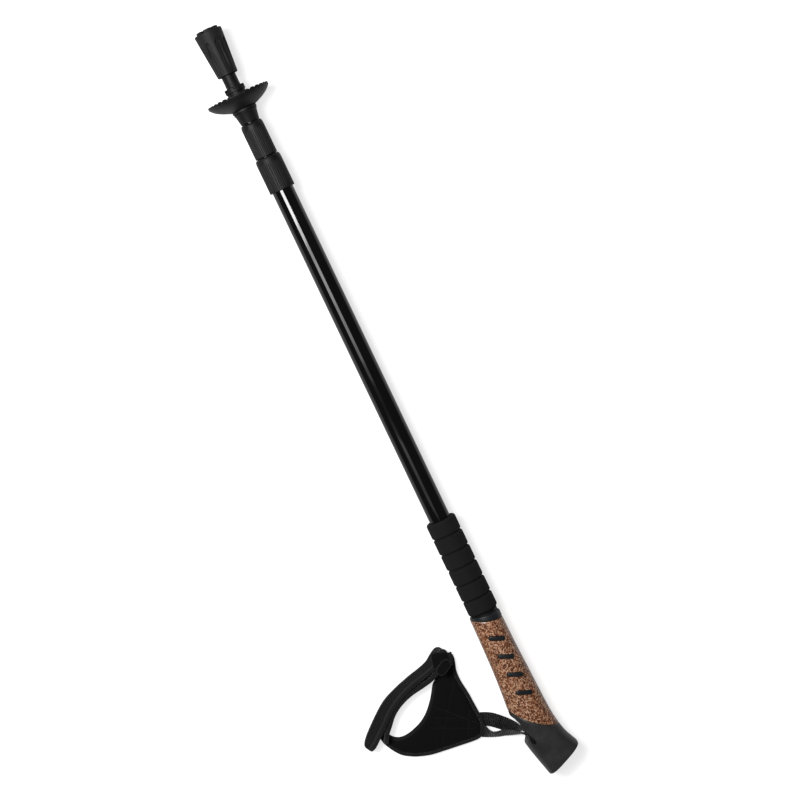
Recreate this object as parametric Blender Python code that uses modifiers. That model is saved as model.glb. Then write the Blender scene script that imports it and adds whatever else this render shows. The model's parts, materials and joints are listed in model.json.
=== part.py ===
"""Telescopic walking pole, collapsed: three tubes with twist locks, a basket, a cork grip and a hand strap.

The pole lies on its basket and its cap. Stations along the pole are distances from the rubber foot's rim.
Places on the grip and the strap are (along, across) pairs, counted from the start of the grip's collar.
"""

import math

import bmesh
import bpy
from mathutils import Matrix, Vector

# Clearances
FIT_GAP = 0.0003
SLIDE_GAP = 0.0003
LOCK_GAP = 0.0002
SECTION_GAP = 0.0008

# Tubes
UPPER_TUBE_DIAMETER = 0.018
TUBE_WALL = 0.0007
UPPER_TUBE_LENGTH = 0.4995

# Rubber foot
FOOT_LENGTH = 0.0379
FOOT_RIM_DIAMETER = 0.0230
FOOT_NECK_DIAMETER = 0.0172
FOOT_FLOOR = 0.0040
FOOT_LIP = 0.0015
SOLE_LUG_HEIGHT = 0.0021
SOLE_DIAMETER = 0.0206
SOLE_GROOVE_WIDTH = 0.0028
SOLE_CENTRE_DIAMETER = 0.0092
SOLE_LUGS = 6
FLUTES = 8
FLUTE_STEPS = 8
FLUTE_WIDTH = 0.0042
FLUTE_END_WIDTH = 0.0026
FLUTE_LENGTH = 0.0220
FLUTE_START = 0.0090
FLUTE_TURN = math.radians(27.5)
WASHER_THICKNESS = 0.0015

# Tip holder and steel point
STEM_DIAMETER = 0.0120
STEM_SHOWN = 0.0104
POINT_DIAMETER = 0.0048
POINT_SHOWN = 0.0040
POINT_DEPTH = 0.0120
FLANGE_DIAMETER = 0.0208
FLANGE_THICKNESS = 0.0018
CONE_LENGTH = 0.0102
CONE_WIDE_DIAMETER = 0.0193
CONE_NARROW_DIAMETER = 0.0158
SOCKET_FLOOR = 0.0015
SPIGOT_LENGTH = 0.0100

# Basket
BASKET_DIAMETER = 0.0530
BASKET_HEIGHT = 0.0115
BASKET_WALL = 0.0015
BASKET_BASE_DIAMETER = 0.0210
BASKET_HUB_LENGTH = 0.0188
BASKET_HUB_WALL = 0.0014
HUB_RING_DIAMETER = 0.0170
HUB_RING_LENGTH = 0.0042
HUB_NOTCHES = 6
HUB_NOTCH_WIDTH = 0.0028
HUB_NOTCH_DEPTH = 0.0024
DISH_STEPS = 5
RIM_WAVES = 32
RIM_WAVE_HEIGHT = 0.0008

# Sleeves
LOWER_SLEEVE_LENGTH = 0.0292
LOWER_SLEEVE_DIAMETER = 0.0189
UPPER_SLEEVE_LENGTH = 0.0288
UPPER_SLEEVE_DIAMETER = 0.0216
SLEEVE_LIP = 0.0020
SLEEVE_SHOULDER = 0.0030
SLEEVE_SHOULDER_DROP = 0.0014

# Twist locks
PLUG_LENGTH = 0.0200
PLUG_FLANGE = 0.0015
STUD_DIAMETER = 0.0050
STUD_REACH = 0.0320
STUD_DEPTH = 0.0120
STUD_HEAD_DIAMETER = 0.0080
STUD_HEAD = 0.0015
THREAD_PITCH = 0.00125
LOCK_TURNS = 1.0
EXPANDER_LENGTH = 0.0220
EXPANDER_WALL = 0.0012
EXPANDER_SPLIT = 0.0012
EXPANDER_WAIST = 0.0005
TAPER_LENGTH = 0.0100
TAPER_SLOPE = 0.25
CONE_NUT_LENGTH = 0.0120
CONE_NUT_INSIDE = 0.0080
UPPER_END_ROOM = 0.0240
MIDDLE_END_ROOM = 0.0065

# Foam grip
FOAM_LENGTH = 0.0843
FOAM_FIRST_LAND = 0.0132
FOAM_LAND_PITCH = 0.01435
FOAM_DIAMETER = 0.0248
FOAM_LANDS = 6
FOAM_GROOVE_WIDTH = 0.0022
FOAM_GROOVE_DEPTH = 0.0011

# Grip core
TUBE_IN_GRIP = 0.0880
CORE_START = 0.0135
CORE_WALL = 0.0012
CORE_FLOOR = 0.0080
CORE_SPIGOT_DIAMETER = 0.0130
CORE_SPIGOT_END = 0.1140

# Collar, cork and cap: half thickness, then (along, across) of each side at stations down the grip
COLLAR_TOP = ((0.0004, -0.0130), (0.0036, 0.0124), 0.0126)
COLLAR_BOTTOM = ((0.0016, -0.0137), (0.0098, 0.0123), 0.0128)
GRIP_STATIONS = (
    ((0.0020, -0.0137), (0.0102, 0.0123), 0.0128),
    ((0.0262, -0.0142), (0.0350, 0.0125), 0.0130),
    ((0.0516, -0.0151), (0.0598, 0.0134), 0.0132),
    ((0.0704, -0.0164), (0.0806, 0.0140), 0.0134),
    ((0.0862, -0.0177), (0.0988, 0.0148), 0.0136),
    ((0.1000, -0.0178), (0.1108, 0.0163), 0.0138),
    ((0.1174, -0.0162), (0.1210, 0.0186), 0.0140),
    ((0.1306, -0.0134), (0.1290, 0.0219), 0.0140),
    ((0.1416, -0.0106), (0.1330, 0.0237), 0.0140),
)
CAP_END = ((0.1492, -0.0087), (0.1352, 0.0239), 0.0140)
CAP_EDGE_ROUNDING = 0.0016
COLLAR_SQUARENESS = 2.0
CAP_SQUARENESS = 3.0
GRIP_RINGS_PER_STATION = 2
GRIP_RING_POINTS = 28
CORK_EDGE_CENTRE = (0.0362, 0.0510)
CORK_EDGE_RADIUS = 0.0840
CORK_EDGE_STEPS = 96

# Rubber inlays in the cork's cheeks
INLAY_LENGTH = 0.0140
INLAY_WIDTH = 0.0037
INLAY_DEPTH = 0.0011
INLAY_FIRST = (0.0231, -0.0003)
INLAY_PITCH = (0.0170, 0.0004)
INLAY_COUNT = 4
INLAY_SLANT = math.radians(25.5)

# Strap slot and pin in the cap
PIN_DIAMETER = 0.0030
PIN_CENTRE = (0.1240, -0.0070)
PIN_TOP = 0.0088
CHAMBER_GAP = 0.0009
POCKET_MARGIN = 0.0009
THROAT_SIDE = (
    (0.0884, -0.0230),
    (0.0888, -0.0185),
    (0.0930, -0.0152),
    (0.0990, -0.0122),
    (0.1040, -0.0102),
    (0.1085, -0.0089),
)
SLOT_MOUTH = (0.1120, -0.0101)
SLOT_END = (0.1174, -0.0094)
LIP_SIDE = (
    (0.1148, -0.0146),
    (0.1162, -0.0165),
    (0.1165, -0.0230),
)
SLOT_GAP = 0.0003

# Hand strap
WEBBING_WIDTH = 0.0120
WEBBING_THICKNESS = 0.0012
PATCH_THICKNESS = 0.0030
BINDING_WIDTH = 0.0022
BINDING_THICKNESS = 0.0036
STRAP_THICKNESS = 0.0030
ANCHOR_LENGTH = 0.0260
ANCHOR_MARGIN = 0.0005
ANCHOR_THICKNESS = 0.0010
ANCHOR_CENTRE = (0.0779, -0.0584)
ANCHOR_ANGLE = math.radians(67)
PATCH_LIFT = 0.0018
SWING_CENTRE = (0.1119, -0.0110)
HOOK_THICKNESS = 0.0007
HOOK_HEIGHT = 0.0110
KEEPER_THICKNESS = 0.0012
TAB_THICKNESS = 0.0014
TAB_HEIGHT = 0.0195
KEEPER_PATH = (
    (0.0265, -0.0410, 0.0062),
    (0.0252, -0.0426, 0.0115),
    (0.0234, -0.0442, 0.0170),
    (0.0215, -0.0475, 0.0186),
    (0.0195, -0.0520, 0.0186),
    (0.0188, -0.0565, 0.0184),
)
KEEPER_HALF_WIDTH = 0.0055
TAB_CENTRE = (0.0275, -0.0502)
TAB_LENGTH = 0.0150
TAB_WIDTH = 0.0090
TAB_ANGLE = math.radians(-62)
PATCH_OUTLINE = (
    (0.0212, -0.0430),
    (0.0225, -0.0396),
    (0.0262, -0.0387),
    (0.0310, -0.0396),
    (0.0375, -0.0416),
    (0.0435, -0.0422),
    (0.0500, -0.0419),
    (0.0595, -0.0407),
    (0.0690, -0.0402),
    (0.0785, -0.0397),
    (0.0872, -0.0396),
    (0.0938, -0.0422),
    (0.0975, -0.0455),
    (0.0987, -0.0500),
    (0.0983, -0.0566),
    (0.0967, -0.0683),
    (0.0951, -0.0800),
    (0.0932, -0.0916),
    (0.0895, -0.1023),
    (0.0863, -0.1083),
    (0.0828, -0.1133),
    (0.0777, -0.1175),
    (0.0716, -0.1210),
    (0.0662, -0.1232),
    (0.0610, -0.1237),
    (0.0578, -0.1217),
    (0.0583, -0.1180),
    (0.0622, -0.1154),
    (0.0658, -0.1124),
    (0.0679, -0.1083),
    (0.0684, -0.1030),
    (0.0671, -0.0959),
    (0.0636, -0.0868),
    (0.0581, -0.0792),
    (0.0505, -0.0723),
    (0.0449, -0.0683),
    (0.0390, -0.0640),
    (0.0344, -0.0572),
    (0.0292, -0.0508),
    (0.0236, -0.0465),
)
# The wrist strap's lower and upper edges, from the patch's arm up to the fold and down to its free end
WRIST_LOWER_EDGE = (
    (0.0655, -0.1203, 0.0062),
    (0.0625, -0.1184, 0.0062),
    (0.0588, -0.1158, 0.0060),
    (0.0530, -0.1112, 0.0030),
    (0.0472, -0.1058, 0.0014),
    (0.0424, -0.0989, 0.0014),
    (0.0388, -0.0908, 0.0014),
    (0.0366, -0.0824, 0.0014),
    (0.0353, -0.0730, 0.0014),
    (0.0338, -0.0630, 0.0012),
    (0.0285, -0.0545, 0.0010),
    (0.0205, -0.0500, 0.0010),
    (0.0165, -0.0498, 0.0008),
    (0.0158, -0.0525, 0.0008),
    (0.0180, -0.0570, 0.0008),
    (0.0218, -0.0630, 0.0008),
    (0.0242, -0.0705, 0.0008),
    (0.0262, -0.0800, 0.0008),
    (0.0302, -0.0940, 0.0008),
    (0.0352, -0.1068, 0.0008),
    (0.0438, -0.1190, 0.0008),
    (0.0535, -0.1304, 0.0008),
    (0.0588, -0.1354, 0.0008),
    (0.0620, -0.1370, 0.0008),
)
WRIST_UPPER_EDGE = (
    (0.0668, -0.1212, 0.0100),
    (0.0630, -0.1192, 0.0130),
    (0.0588, -0.1160, 0.0140),
    (0.0530, -0.1113, 0.0140),
    (0.0472, -0.1059, 0.0140),
    (0.0424, -0.0990, 0.0140),
    (0.0388, -0.0909, 0.0140),
    (0.0366, -0.0825, 0.0140),
    (0.0353, -0.0730, 0.0140),
    (0.0328, -0.0620, 0.0145),
    (0.0262, -0.0525, 0.0150),
    (0.0190, -0.0468, 0.0155),
    (0.0140, -0.0458, 0.0160),
    (0.0118, -0.0494, 0.0160),
    (0.0155, -0.0550, 0.0160),
    (0.0222, -0.0608, 0.0160),
    (0.0262, -0.0680, 0.0160),
    (0.0287, -0.0775, 0.0160),
    (0.0333, -0.0905, 0.0160),
    (0.0395, -0.1030, 0.0160),
    (0.0488, -0.1147, 0.0160),
    (0.0580, -0.1255, 0.0158),
    (0.0620, -0.1312, 0.0150),
    (0.0640, -0.1345, 0.0140),
)
# The webbing between the patch and the slot: along, across, height as a share of the pin's, and its twist
# from standing on edge
WEBBING_OUT = (
    (0.0838, -0.0455, 0.056, 90),
    (0.0858, -0.0390, 0.075, 90),
    (0.0880, -0.0345, 0.24, 84),
    (0.0915, -0.0290, 0.42, 76),
    (0.0955, -0.0238, 0.62, 60),
    (0.1000, -0.0186, 0.80, 38),
    (0.1042, -0.0147, 0.93, 14),
    (0.1073, -0.0121, 0.99, 3),
)
WEBBING_BACK = (
    (0.1098, -0.0128, 0.99, 0),
    (0.1078, -0.0170, 0.91, -4),
    (0.1052, -0.0235, 0.78, -12),
    (0.1030, -0.0300, 0.64, -22),
    (0.1012, -0.0350, 0.56, -24),
    (0.1006, -0.0405, 0.53, -14),
    (0.1008, -0.0465, 0.52, 0),
)
BIGHT_STEPS = 6
BIGHT_TURN = math.radians(115)

CHAMBER_STEPS = 10
ROUND_STEPS = 36
SMALL_STEPS = 20

# Sizes that follow from those above
UPPER_TUBE_RADIUS = UPPER_TUBE_DIAMETER / 2
UPPER_BORE = UPPER_TUBE_RADIUS - TUBE_WALL
MIDDLE_TUBE_RADIUS = UPPER_BORE - SLIDE_GAP
MIDDLE_BORE = MIDDLE_TUBE_RADIUS - TUBE_WALL
LOWER_TUBE_RADIUS = MIDDLE_BORE - SLIDE_GAP
LOWER_BORE = LOWER_TUBE_RADIUS - TUBE_WALL
STEM_RADIUS = STEM_DIAMETER / 2

STEM_START = FOOT_FLOOR + WASHER_THICKNESS + 3 * FIT_GAP + POINT_SHOWN
HUB_START = FOOT_LENGTH + STEM_SHOWN
BASKET_BASE = HUB_START + BASKET_HUB_LENGTH
BASKET_RIM = BASKET_BASE - BASKET_HEIGHT
FLANGE_START = BASKET_BASE + FIT_GAP
CONE_START = FLANGE_START + FLANGE_THICKNESS
CONE_END = CONE_START + CONE_LENGTH
LOWER_TUBE_START = CONE_START + SOCKET_FLOOR
LOWER_SLEEVE_START = CONE_END + SECTION_GAP
LOWER_SLEEVE_END = LOWER_SLEEVE_START + LOWER_SLEEVE_LENGTH
MIDDLE_TUBE_START = LOWER_SLEEVE_START + SLEEVE_LIP
UPPER_SLEEVE_START = LOWER_SLEEVE_END + SECTION_GAP
UPPER_SLEEVE_END = UPPER_SLEEVE_START + UPPER_SLEEVE_LENGTH
UPPER_TUBE_START = UPPER_SLEEVE_START + SLEEVE_LIP
UPPER_TUBE_END = UPPER_TUBE_START + UPPER_TUBE_LENGTH
MIDDLE_TUBE_END = UPPER_TUBE_END - UPPER_END_ROOM - STUD_REACH
LOWER_TUBE_END = MIDDLE_TUBE_END - PLUG_LENGTH - MIDDLE_END_ROOM - STUD_REACH
GRIP_START = UPPER_TUBE_END - TUBE_IN_GRIP
FOAM_END = GRIP_START - FIT_GAP
FOAM_START = FOAM_END - FOAM_LENGTH

# The pole leans from the basket's rim down to the cap's end
CAP_HALF_THICKNESS = CAP_END[2]
TILT = math.atan((BASKET_DIAMETER / 2 - CAP_HALF_THICKNESS) / (GRIP_START + CAP_END[0][0] - BASKET_RIM))
AXIS_HEIGHT = BASKET_DIAMETER / 2 * math.cos(TILT) + BASKET_RIM * math.sin(TILT)
PIN_STATION = GRIP_START + PIN_CENTRE[0]
PIN_HEIGHT = AXIS_HEIGHT - PIN_STATION * math.sin(TILT)

# The webbing's two layers share the slot, and its bight goes round the pin
LAYER_OFFSET = (WEBBING_THICKNESS + SLOT_GAP) / 2
SLOT_HALF_WIDTH = WEBBING_THICKNESS + SLOT_GAP * 1.5
BIGHT_RADIUS = PIN_DIAMETER / 2 + WEBBING_THICKNESS / 2 + 2 * FIT_GAP
CHAMBER_RADIUS = BIGHT_RADIUS + WEBBING_THICKNESS / 2 + CHAMBER_GAP


# Scene, materials and modelling helpers
def clear_scene():
    for obj in list(bpy.data.objects):
        bpy.data.objects.remove(obj, do_unlink=True)


def new_collection(name, hidden=False):
    collection = bpy.data.collections.new(name)
    bpy.context.scene.collection.children.link(collection)
    collection.hide_render = hidden
    return collection


def material(name, colour, roughness, metallic=0.0):
    made = bpy.data.materials.new(name)
    made.use_nodes = True
    shader = made.node_tree.nodes["Principled BSDF"]
    shader.inputs["Base Color"].default_value = (*colour, 1.0)
    shader.inputs["Roughness"].default_value = roughness
    shader.inputs["Metallic"].default_value = metallic
    return made


def empty(name, parent, location=(0, 0, 0), rotation=(0, 0, 0)):
    made = bpy.data.objects.new(name, None)
    parts.objects.link(made)
    made.parent = parent
    made.location = location
    made.rotation_euler = rotation
    return made


def add(name, mesh, parent, finish=None, location=(0, 0, 0), rotation=(0, 0, 0)):
    """A piece of the pole, or a cutter when it has no finish."""
    made = bpy.data.objects.new(name, mesh)
    made.parent = parent
    made.location = location
    made.rotation_euler = rotation
    if finish is None:
        cutters.objects.link(made)
        made.hide_render = True
        made.display_type = "WIRE"
    else:
        parts.objects.link(made)
        mesh.materials.append(finish)
    return made


def mesh_of(name, build):
    """A mesh that the build function fills through bmesh, shaded smooth up to its sharp edges."""
    made = bpy.data.meshes.new(name)
    work = bmesh.new()
    build(work)
    bmesh.ops.recalc_face_normals(work, faces=work.faces)
    work.to_mesh(made)
    work.free()
    made.shade_smooth()
    made.set_sharp_from_angle(angle=math.radians(35))
    return made


def turned(name, profile, parent, finish=None, at=0.0, steps=ROUND_STEPS):
    """A profile of (radius, station) points, the outer side's top first, turned round the parent's Z axis."""
    points = [(radius, 0.0, station - at) for radius, station in profile]
    on_axis = profile[0][0] == 0.0 and profile[-1][0] == 0.0
    edges = [(i, i + 1) for i in range(len(points) - 1)]
    if not on_axis:
        edges.append((len(points) - 1, 0))
    made = bpy.data.meshes.new(name)
    made.from_pydata(points, edges, [])
    piece = add(name, made, parent, finish, location=(0, 0, at))
    screw = piece.modifiers.new("turn", "SCREW")
    screw.axis = "Z"
    screw.steps = steps
    screw.render_steps = steps
    screw.use_merge_vertices = True
    screw.merge_threshold = 0.00001
    screw.use_smooth_shade = True
    return piece


def tube(name, radius, wall, start, end, parent, finish):
    profile = ((radius, end), (radius, start), (radius - wall, start), (radius - wall, end))
    return turned(name, profile, parent, finish, at=start)


def boolean(piece, other, operation="DIFFERENCE"):
    step = piece.modifiers.new(operation.lower(), "BOOLEAN")
    step.operation = operation
    step.object = other
    step.solver = "EXACT"


def box_mesh(name, size, centre=(0, 0, 0)):
    def build(work):
        bmesh.ops.create_cube(work, size=1.0)
        bmesh.ops.scale(work, vec=size, verts=work.verts)
        bmesh.ops.translate(work, vec=centre, verts=work.verts)

    return mesh_of(name, build)


def cylinder_mesh(name, radius, low, high, steps=SMALL_STEPS, top_radius=None):
    def build(work):
        bmesh.ops.create_cone(
            work,
            cap_ends=True,
            segments=steps,
            radius1=radius,
            radius2=radius if top_radius is None else top_radius,
            depth=high - low,
        )
        bmesh.ops.translate(work, vec=(0, 0, (low + high) / 2), verts=work.verts)

    return mesh_of(name, build)


def around(build_one, count, start=0.0):
    """Copies of one shape, spread evenly round the Z axis from a starting angle."""

    def build(work):
        for index in range(count):
            before = set(work.verts)
            build_one(work)
            turn = Matrix.Rotation(start + math.tau * index / count, 4, "Z")
            bmesh.ops.transform(work, matrix=turn, verts=[v for v in work.verts if v not in before])

    return build


def smooth_line(points, steps, closed=False):
    """A smooth curve through points of any dimension, with some steps to each span."""
    points = [Vector(point) for point in points]
    count = len(points)
    spans = count if closed else count - 1
    line = []
    for span in range(spans):
        before = points[(span - 1) % count] if closed or span else points[span]
        start = points[span]
        end = points[(span + 1) % count]
        after = points[(span + 2) % count] if closed or span + 2 < count else end
        for step in range(steps):
            t = step / steps
            line.append(
                0.5
                * (
                    2 * start
                    + (end - before) * t
                    + (2 * before - 5 * start + 4 * end - after) * t**2
                    + (3 * start - before - 3 * end + after) * t**3
                )
            )
    if not closed:
        line.append(points[-1])
    return line


def inset(points, distance):
    """A closed outline, listed clockwise, moved inwards by a distance."""
    count = len(points)
    moved = []
    for index, point in enumerate(points):
        along = (points[(index + 1) % count] - points[index - 1]).normalized()
        moved.append(point + Vector((along.y, -along.x)) * distance)
    return moved


def plate(name, outlines, low, high, parent, finish=None, rotation=(0, 0, 0), location=(0, 0, 0)):
    """A flat piece with one or more closed outlines, an inner one being a hole, from a filled 2D curve."""
    curve = bpy.data.curves.new(name, "CURVE")
    curve.dimensions = "2D"
    curve.fill_mode = "BOTH"
    curve.extrude = (high - low) / 2
    for outline in outlines:
        spline = curve.splines.new("POLY")
        spline.points.add(len(outline) - 1)
        for place, point in zip(spline.points, outline):
            place.co = (point[0], point[1], 0.0, 1.0)
        spline.use_cyclic_u = True
    guide = bpy.data.objects.new(name + "_curve", curve)
    cutters.objects.link(guide)
    bpy.context.view_layer.update()
    flat = bpy.data.meshes.new_from_object(guide.evaluated_get(bpy.context.evaluated_depsgraph_get()))
    bpy.data.objects.remove(guide, do_unlink=True)

    def build(work):
        work.from_mesh(flat)
        bmesh.ops.remove_doubles(work, verts=work.verts, dist=0.000001)
        bmesh.ops.translate(work, vec=(0, 0, (low + high) / 2), verts=work.verts)

    return add(name, mesh_of(name, build), parent, finish, location, rotation)


def ribbon(name, first_rail, second_rail, thickness, parent, finish):
    """A strip between two rails, made solid by its thickness."""

    def build(work):
        rails = [[work.verts.new(point) for point in rail] for rail in (first_rail, second_rail)]
        for index in range(len(first_rail) - 1):
            work.faces.new((rails[0][index], rails[0][index + 1], rails[1][index + 1], rails[1][index]))

    piece = add(name, mesh_of(name, build), parent, finish)
    solid = piece.modifiers.new("thickness", "SOLIDIFY")
    solid.thickness = thickness
    solid.offset = 0.0
    solid.use_even_offset = True
    return piece


def pill(length, width, steps=8):
    """An outline with round ends, along X."""
    radius = width / 2
    reach = length / 2 - radius
    points = []
    for side in (1, -1):
        for step in range(steps + 1):
            angle = math.pi * step / steps - math.pi / 2
            points.append((side * (reach + radius * math.cos(angle)), side * radius * math.sin(angle)))
    return points


# Grip sections: each one stands across the grip, between a point on either side
def section(station, squareness):
    low, high, half_thickness = station
    low, high = Vector((*low, 0.0)), Vector((*high, 0.0))
    middle, reach = (low + high) / 2, (high - low) / 2
    points = []
    for index in range(GRIP_RING_POINTS):
        angle = math.tau * index / GRIP_RING_POINTS
        across = math.copysign(abs(math.cos(angle)) ** (2 / squareness), math.cos(angle))
        up = math.copysign(abs(math.sin(angle)) ** (2 / squareness), math.sin(angle))
        points.append(middle + reach * across + Vector((0, 0, half_thickness * up)))
    return points


def loft(name, rings):
    """Skins a row of rings, each with the same number of points, and closes both ends."""

    def build(work):
        rows = [[work.verts.new(point) for point in ring] for ring in rings]
        for row, following in zip(rows, rows[1:]):
            for index in range(len(row)):
                after = (index + 1) % len(row)
                work.faces.new((row[index], row[after], following[after], following[index]))
        work.faces.new(rows[0])
        work.faces.new(rows[-1])

    return mesh_of(name, build)


def shifted(station, distance, inward=0.0):
    """A station moved along the grip, square to itself, and drawn in on all sides."""
    low, high, half_thickness = Vector(station[0]), Vector(station[1]), station[2]
    across = (high - low).normalized()
    forward = Vector((across.y, -across.x))
    low = low + forward * distance + across * inward
    high = high + forward * distance - across * inward
    return (tuple(low), tuple(high), half_thickness - inward)


def grip_rings():
    """The grip from the collar to the cap's end, its sections growing squarer towards the cap."""
    stations = [*GRIP_STATIONS, shifted(CAP_END, -CAP_EDGE_ROUNDING)]
    low_side = smooth_line([station[0] for station in stations], GRIP_RINGS_PER_STATION)
    high_side = smooth_line([station[1] for station in stations], GRIP_RINGS_PER_STATION)
    halves = smooth_line([(station[2], 0.0) for station in stations], GRIP_RINGS_PER_STATION)
    rings = []
    for index, (low, high, half) in enumerate(zip(low_side, high_side, halves)):
        share = index / (len(halves) - 1)
        squareness = COLLAR_SQUARENESS + (CAP_SQUARENESS - COLLAR_SQUARENESS) * share
        rings.append(section((low, high, half.x), squareness))
    for back, inward in ((0.3, 0.3), (0.0, 1.0)):
        end = shifted(CAP_END, -CAP_EDGE_ROUNDING * back, CAP_EDGE_ROUNDING * inward)
        rings.append(section(end, CAP_SQUARENESS))
    return rings


# Foot end
def make_foot():
    slope = (FOOT_RIM_DIAMETER - FOOT_NECK_DIAMETER) / 2 / FOOT_LENGTH
    neck = FOOT_NECK_DIAMETER / 2
    bore = STEM_RADIUS + FIT_GAP
    profile = (
        (neck - FOOT_LIP / 3, FOOT_LENGTH),
        (neck + slope * FOOT_LIP, FOOT_LENGTH - FOOT_LIP / 3),
        (FOOT_RIM_DIAMETER / 2, 0.0),
        (SOLE_DIAMETER / 2, 0.0),
        (SOLE_DIAMETER / 2, -SOLE_LUG_HEIGHT),
        (0.0, -SOLE_LUG_HEIGHT),
    )
    outside = turned("rubber_foot", ((0.0, FOOT_LENGTH), *profile), pole, rubber)
    hollow = turned(
        "foot_bore_cutter",
        ((0.0, FOOT_LENGTH + FIT_GAP), (bore, FOOT_LENGTH + FIT_GAP), (bore, FOOT_FLOOR), (0.0, FOOT_FLOOR)),
        pole,
    )
    boolean(outside, hollow)

    def one_groove(work):
        reach = FOOT_RIM_DIAMETER / 2
        made = bmesh.ops.create_cube(work, size=1.0)["verts"]
        bmesh.ops.scale(work, vec=(reach, SOLE_GROOVE_WIDTH, SOLE_LUG_HEIGHT), verts=made)
        middle = SOLE_CENTRE_DIAMETER / 2 + reach / 2
        bmesh.ops.translate(work, vec=(middle, 0, -SOLE_LUG_HEIGHT * 0.5 - FIT_GAP), verts=made)

    grooves = mesh_of("sole_groove_cutter", around(one_groove, SOLE_LUGS))
    boolean(outside, add("sole_groove_cutter", grooves, pole))

    def one_flute(work):
        made = bmesh.ops.create_cone(
            work,
            cap_ends=True,
            segments=FLUTE_STEPS,
            radius1=FLUTE_WIDTH / 2,
            radius2=FLUTE_END_WIDTH / 2,
            depth=FLUTE_LENGTH,
        )["verts"]
        middle = FLUTE_START + FLUTE_LENGTH / 2
        lean = Matrix.Rotation(-math.atan(slope), 4, "Y")
        out = Matrix.Translation((FOOT_RIM_DIAMETER / 2 - slope * middle + FLUTE_END_WIDTH / 6, 0, middle))
        bmesh.ops.transform(work, matrix=out @ lean, verts=made)

    flutes = mesh_of("flute_cutter", around(one_flute, FLUTES, FLUTE_TURN))
    boolean(outside, add("flute_cutter", flutes, pole))
    washer_top = FOOT_FLOOR + FIT_GAP + WASHER_THICKNESS
    washer = (
        (0.0, washer_top),
        (STEM_RADIUS - FIT_GAP, washer_top),
        (STEM_RADIUS - FIT_GAP, FOOT_FLOOR + FIT_GAP),
        (0.0, FOOT_FLOOR + FIT_GAP),
    )
    turned("foot_washer", washer, pole, steel, at=FOOT_FLOOR, steps=SMALL_STEPS)


def make_tip_holder():
    tube_groove = LOWER_TUBE_RADIUS + FIT_GAP
    spigot = LOWER_BORE - FIT_GAP
    point_bore = POINT_DIAMETER / 2 + FIT_GAP
    profile = (
        (CONE_NARROW_DIAMETER / 2, CONE_END),
        (CONE_WIDE_DIAMETER / 2, CONE_START),
        (FLANGE_DIAMETER / 2, CONE_START),
        (FLANGE_DIAMETER / 2, FLANGE_START),
        (STEM_RADIUS, FLANGE_START),
        (STEM_RADIUS, STEM_START + FIT_GAP),
        (STEM_RADIUS - FIT_GAP, STEM_START),
        (point_bore, STEM_START),
        (point_bore, STEM_START + POINT_DEPTH + FIT_GAP),
        (0.0, STEM_START + POINT_DEPTH + FIT_GAP),
    )
    inside = (
        (0.0, CONE_END + SPIGOT_LENGTH),
        (spigot, CONE_END + SPIGOT_LENGTH),
        (spigot, LOWER_TUBE_START - FIT_GAP),
        (tube_groove, LOWER_TUBE_START - FIT_GAP),
        (tube_groove, CONE_END),
    )
    turned("tip_holder", (*inside, *profile), pole, plastic, at=STEM_START)
    radius = POINT_DIAMETER / 2
    nose = STEM_START - POINT_SHOWN
    point = (
        (0.0, STEM_START + POINT_DEPTH),
        (radius, STEM_START + POINT_DEPTH),
        (radius, nose + radius / 2),
        (radius * 0.7, nose),
        (0.0, nose),
    )
    turned("steel_point", point, pole, steel, at=nose, steps=SMALL_STEPS)


def make_basket():
    rim = BASKET_DIAMETER / 2
    base = BASKET_BASE_DIAMETER / 2
    bore = STEM_RADIUS + FIT_GAP
    hub = bore + BASKET_HUB_WALL
    ring = HUB_RING_DIAMETER / 2
    outer, inner = [], []
    for step in range(DISH_STEPS + 1):
        share = step / DISH_STEPS
        radius = base + (rim - base) * (1 - share**2)
        outer.append((radius, BASKET_RIM + BASKET_HEIGHT * share))
        lean = math.atan2(2 * (rim - base) * share, BASKET_HEIGHT)
        if step < DISH_STEPS:
            drop = BASKET_HEIGHT * share - BASKET_WALL * math.sin(lean)
            inner.append((radius - BASKET_WALL * math.cos(lean), BASKET_RIM + drop))
    floor = BASKET_BASE - BASKET_WALL
    profile = (
        (bore, BASKET_BASE),
        *reversed(outer),
        *inner,
        (base, floor),
        (hub, floor),
        (hub, HUB_START + HUB_RING_LENGTH),
        (ring, HUB_START + HUB_RING_LENGTH),
        (ring, HUB_START),
        (bore, HUB_START),
    )
    dish = turned("basket", profile, pole, plastic, at=HUB_START, steps=2 * RIM_WAVES)

    def one_notch(work):
        made = bmesh.ops.create_cube(work, size=1.0)["verts"]
        bmesh.ops.scale(work, vec=(hub, HUB_NOTCH_WIDTH, 2 * HUB_NOTCH_DEPTH), verts=made)
        bmesh.ops.translate(work, vec=(hub, 0, HUB_START), verts=made)

    boolean(dish, add("hub_notch_cutter", mesh_of("hub_notch_cutter", around(one_notch, HUB_NOTCHES)), pole))

    def one_wave(work):
        width = math.tau * rim / RIM_WAVES / 2
        made = bmesh.ops.create_cube(work, size=1.0)["verts"]
        bmesh.ops.scale(work, vec=(4 * BASKET_WALL, width, 2 * RIM_WAVE_HEIGHT), verts=made)
        bmesh.ops.translate(work, vec=(rim, 0, BASKET_RIM), verts=made)

    boolean(dish, add("rim_wave_cutter", mesh_of("rim_wave_cutter", around(one_wave, RIM_WAVES)), pole))


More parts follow.
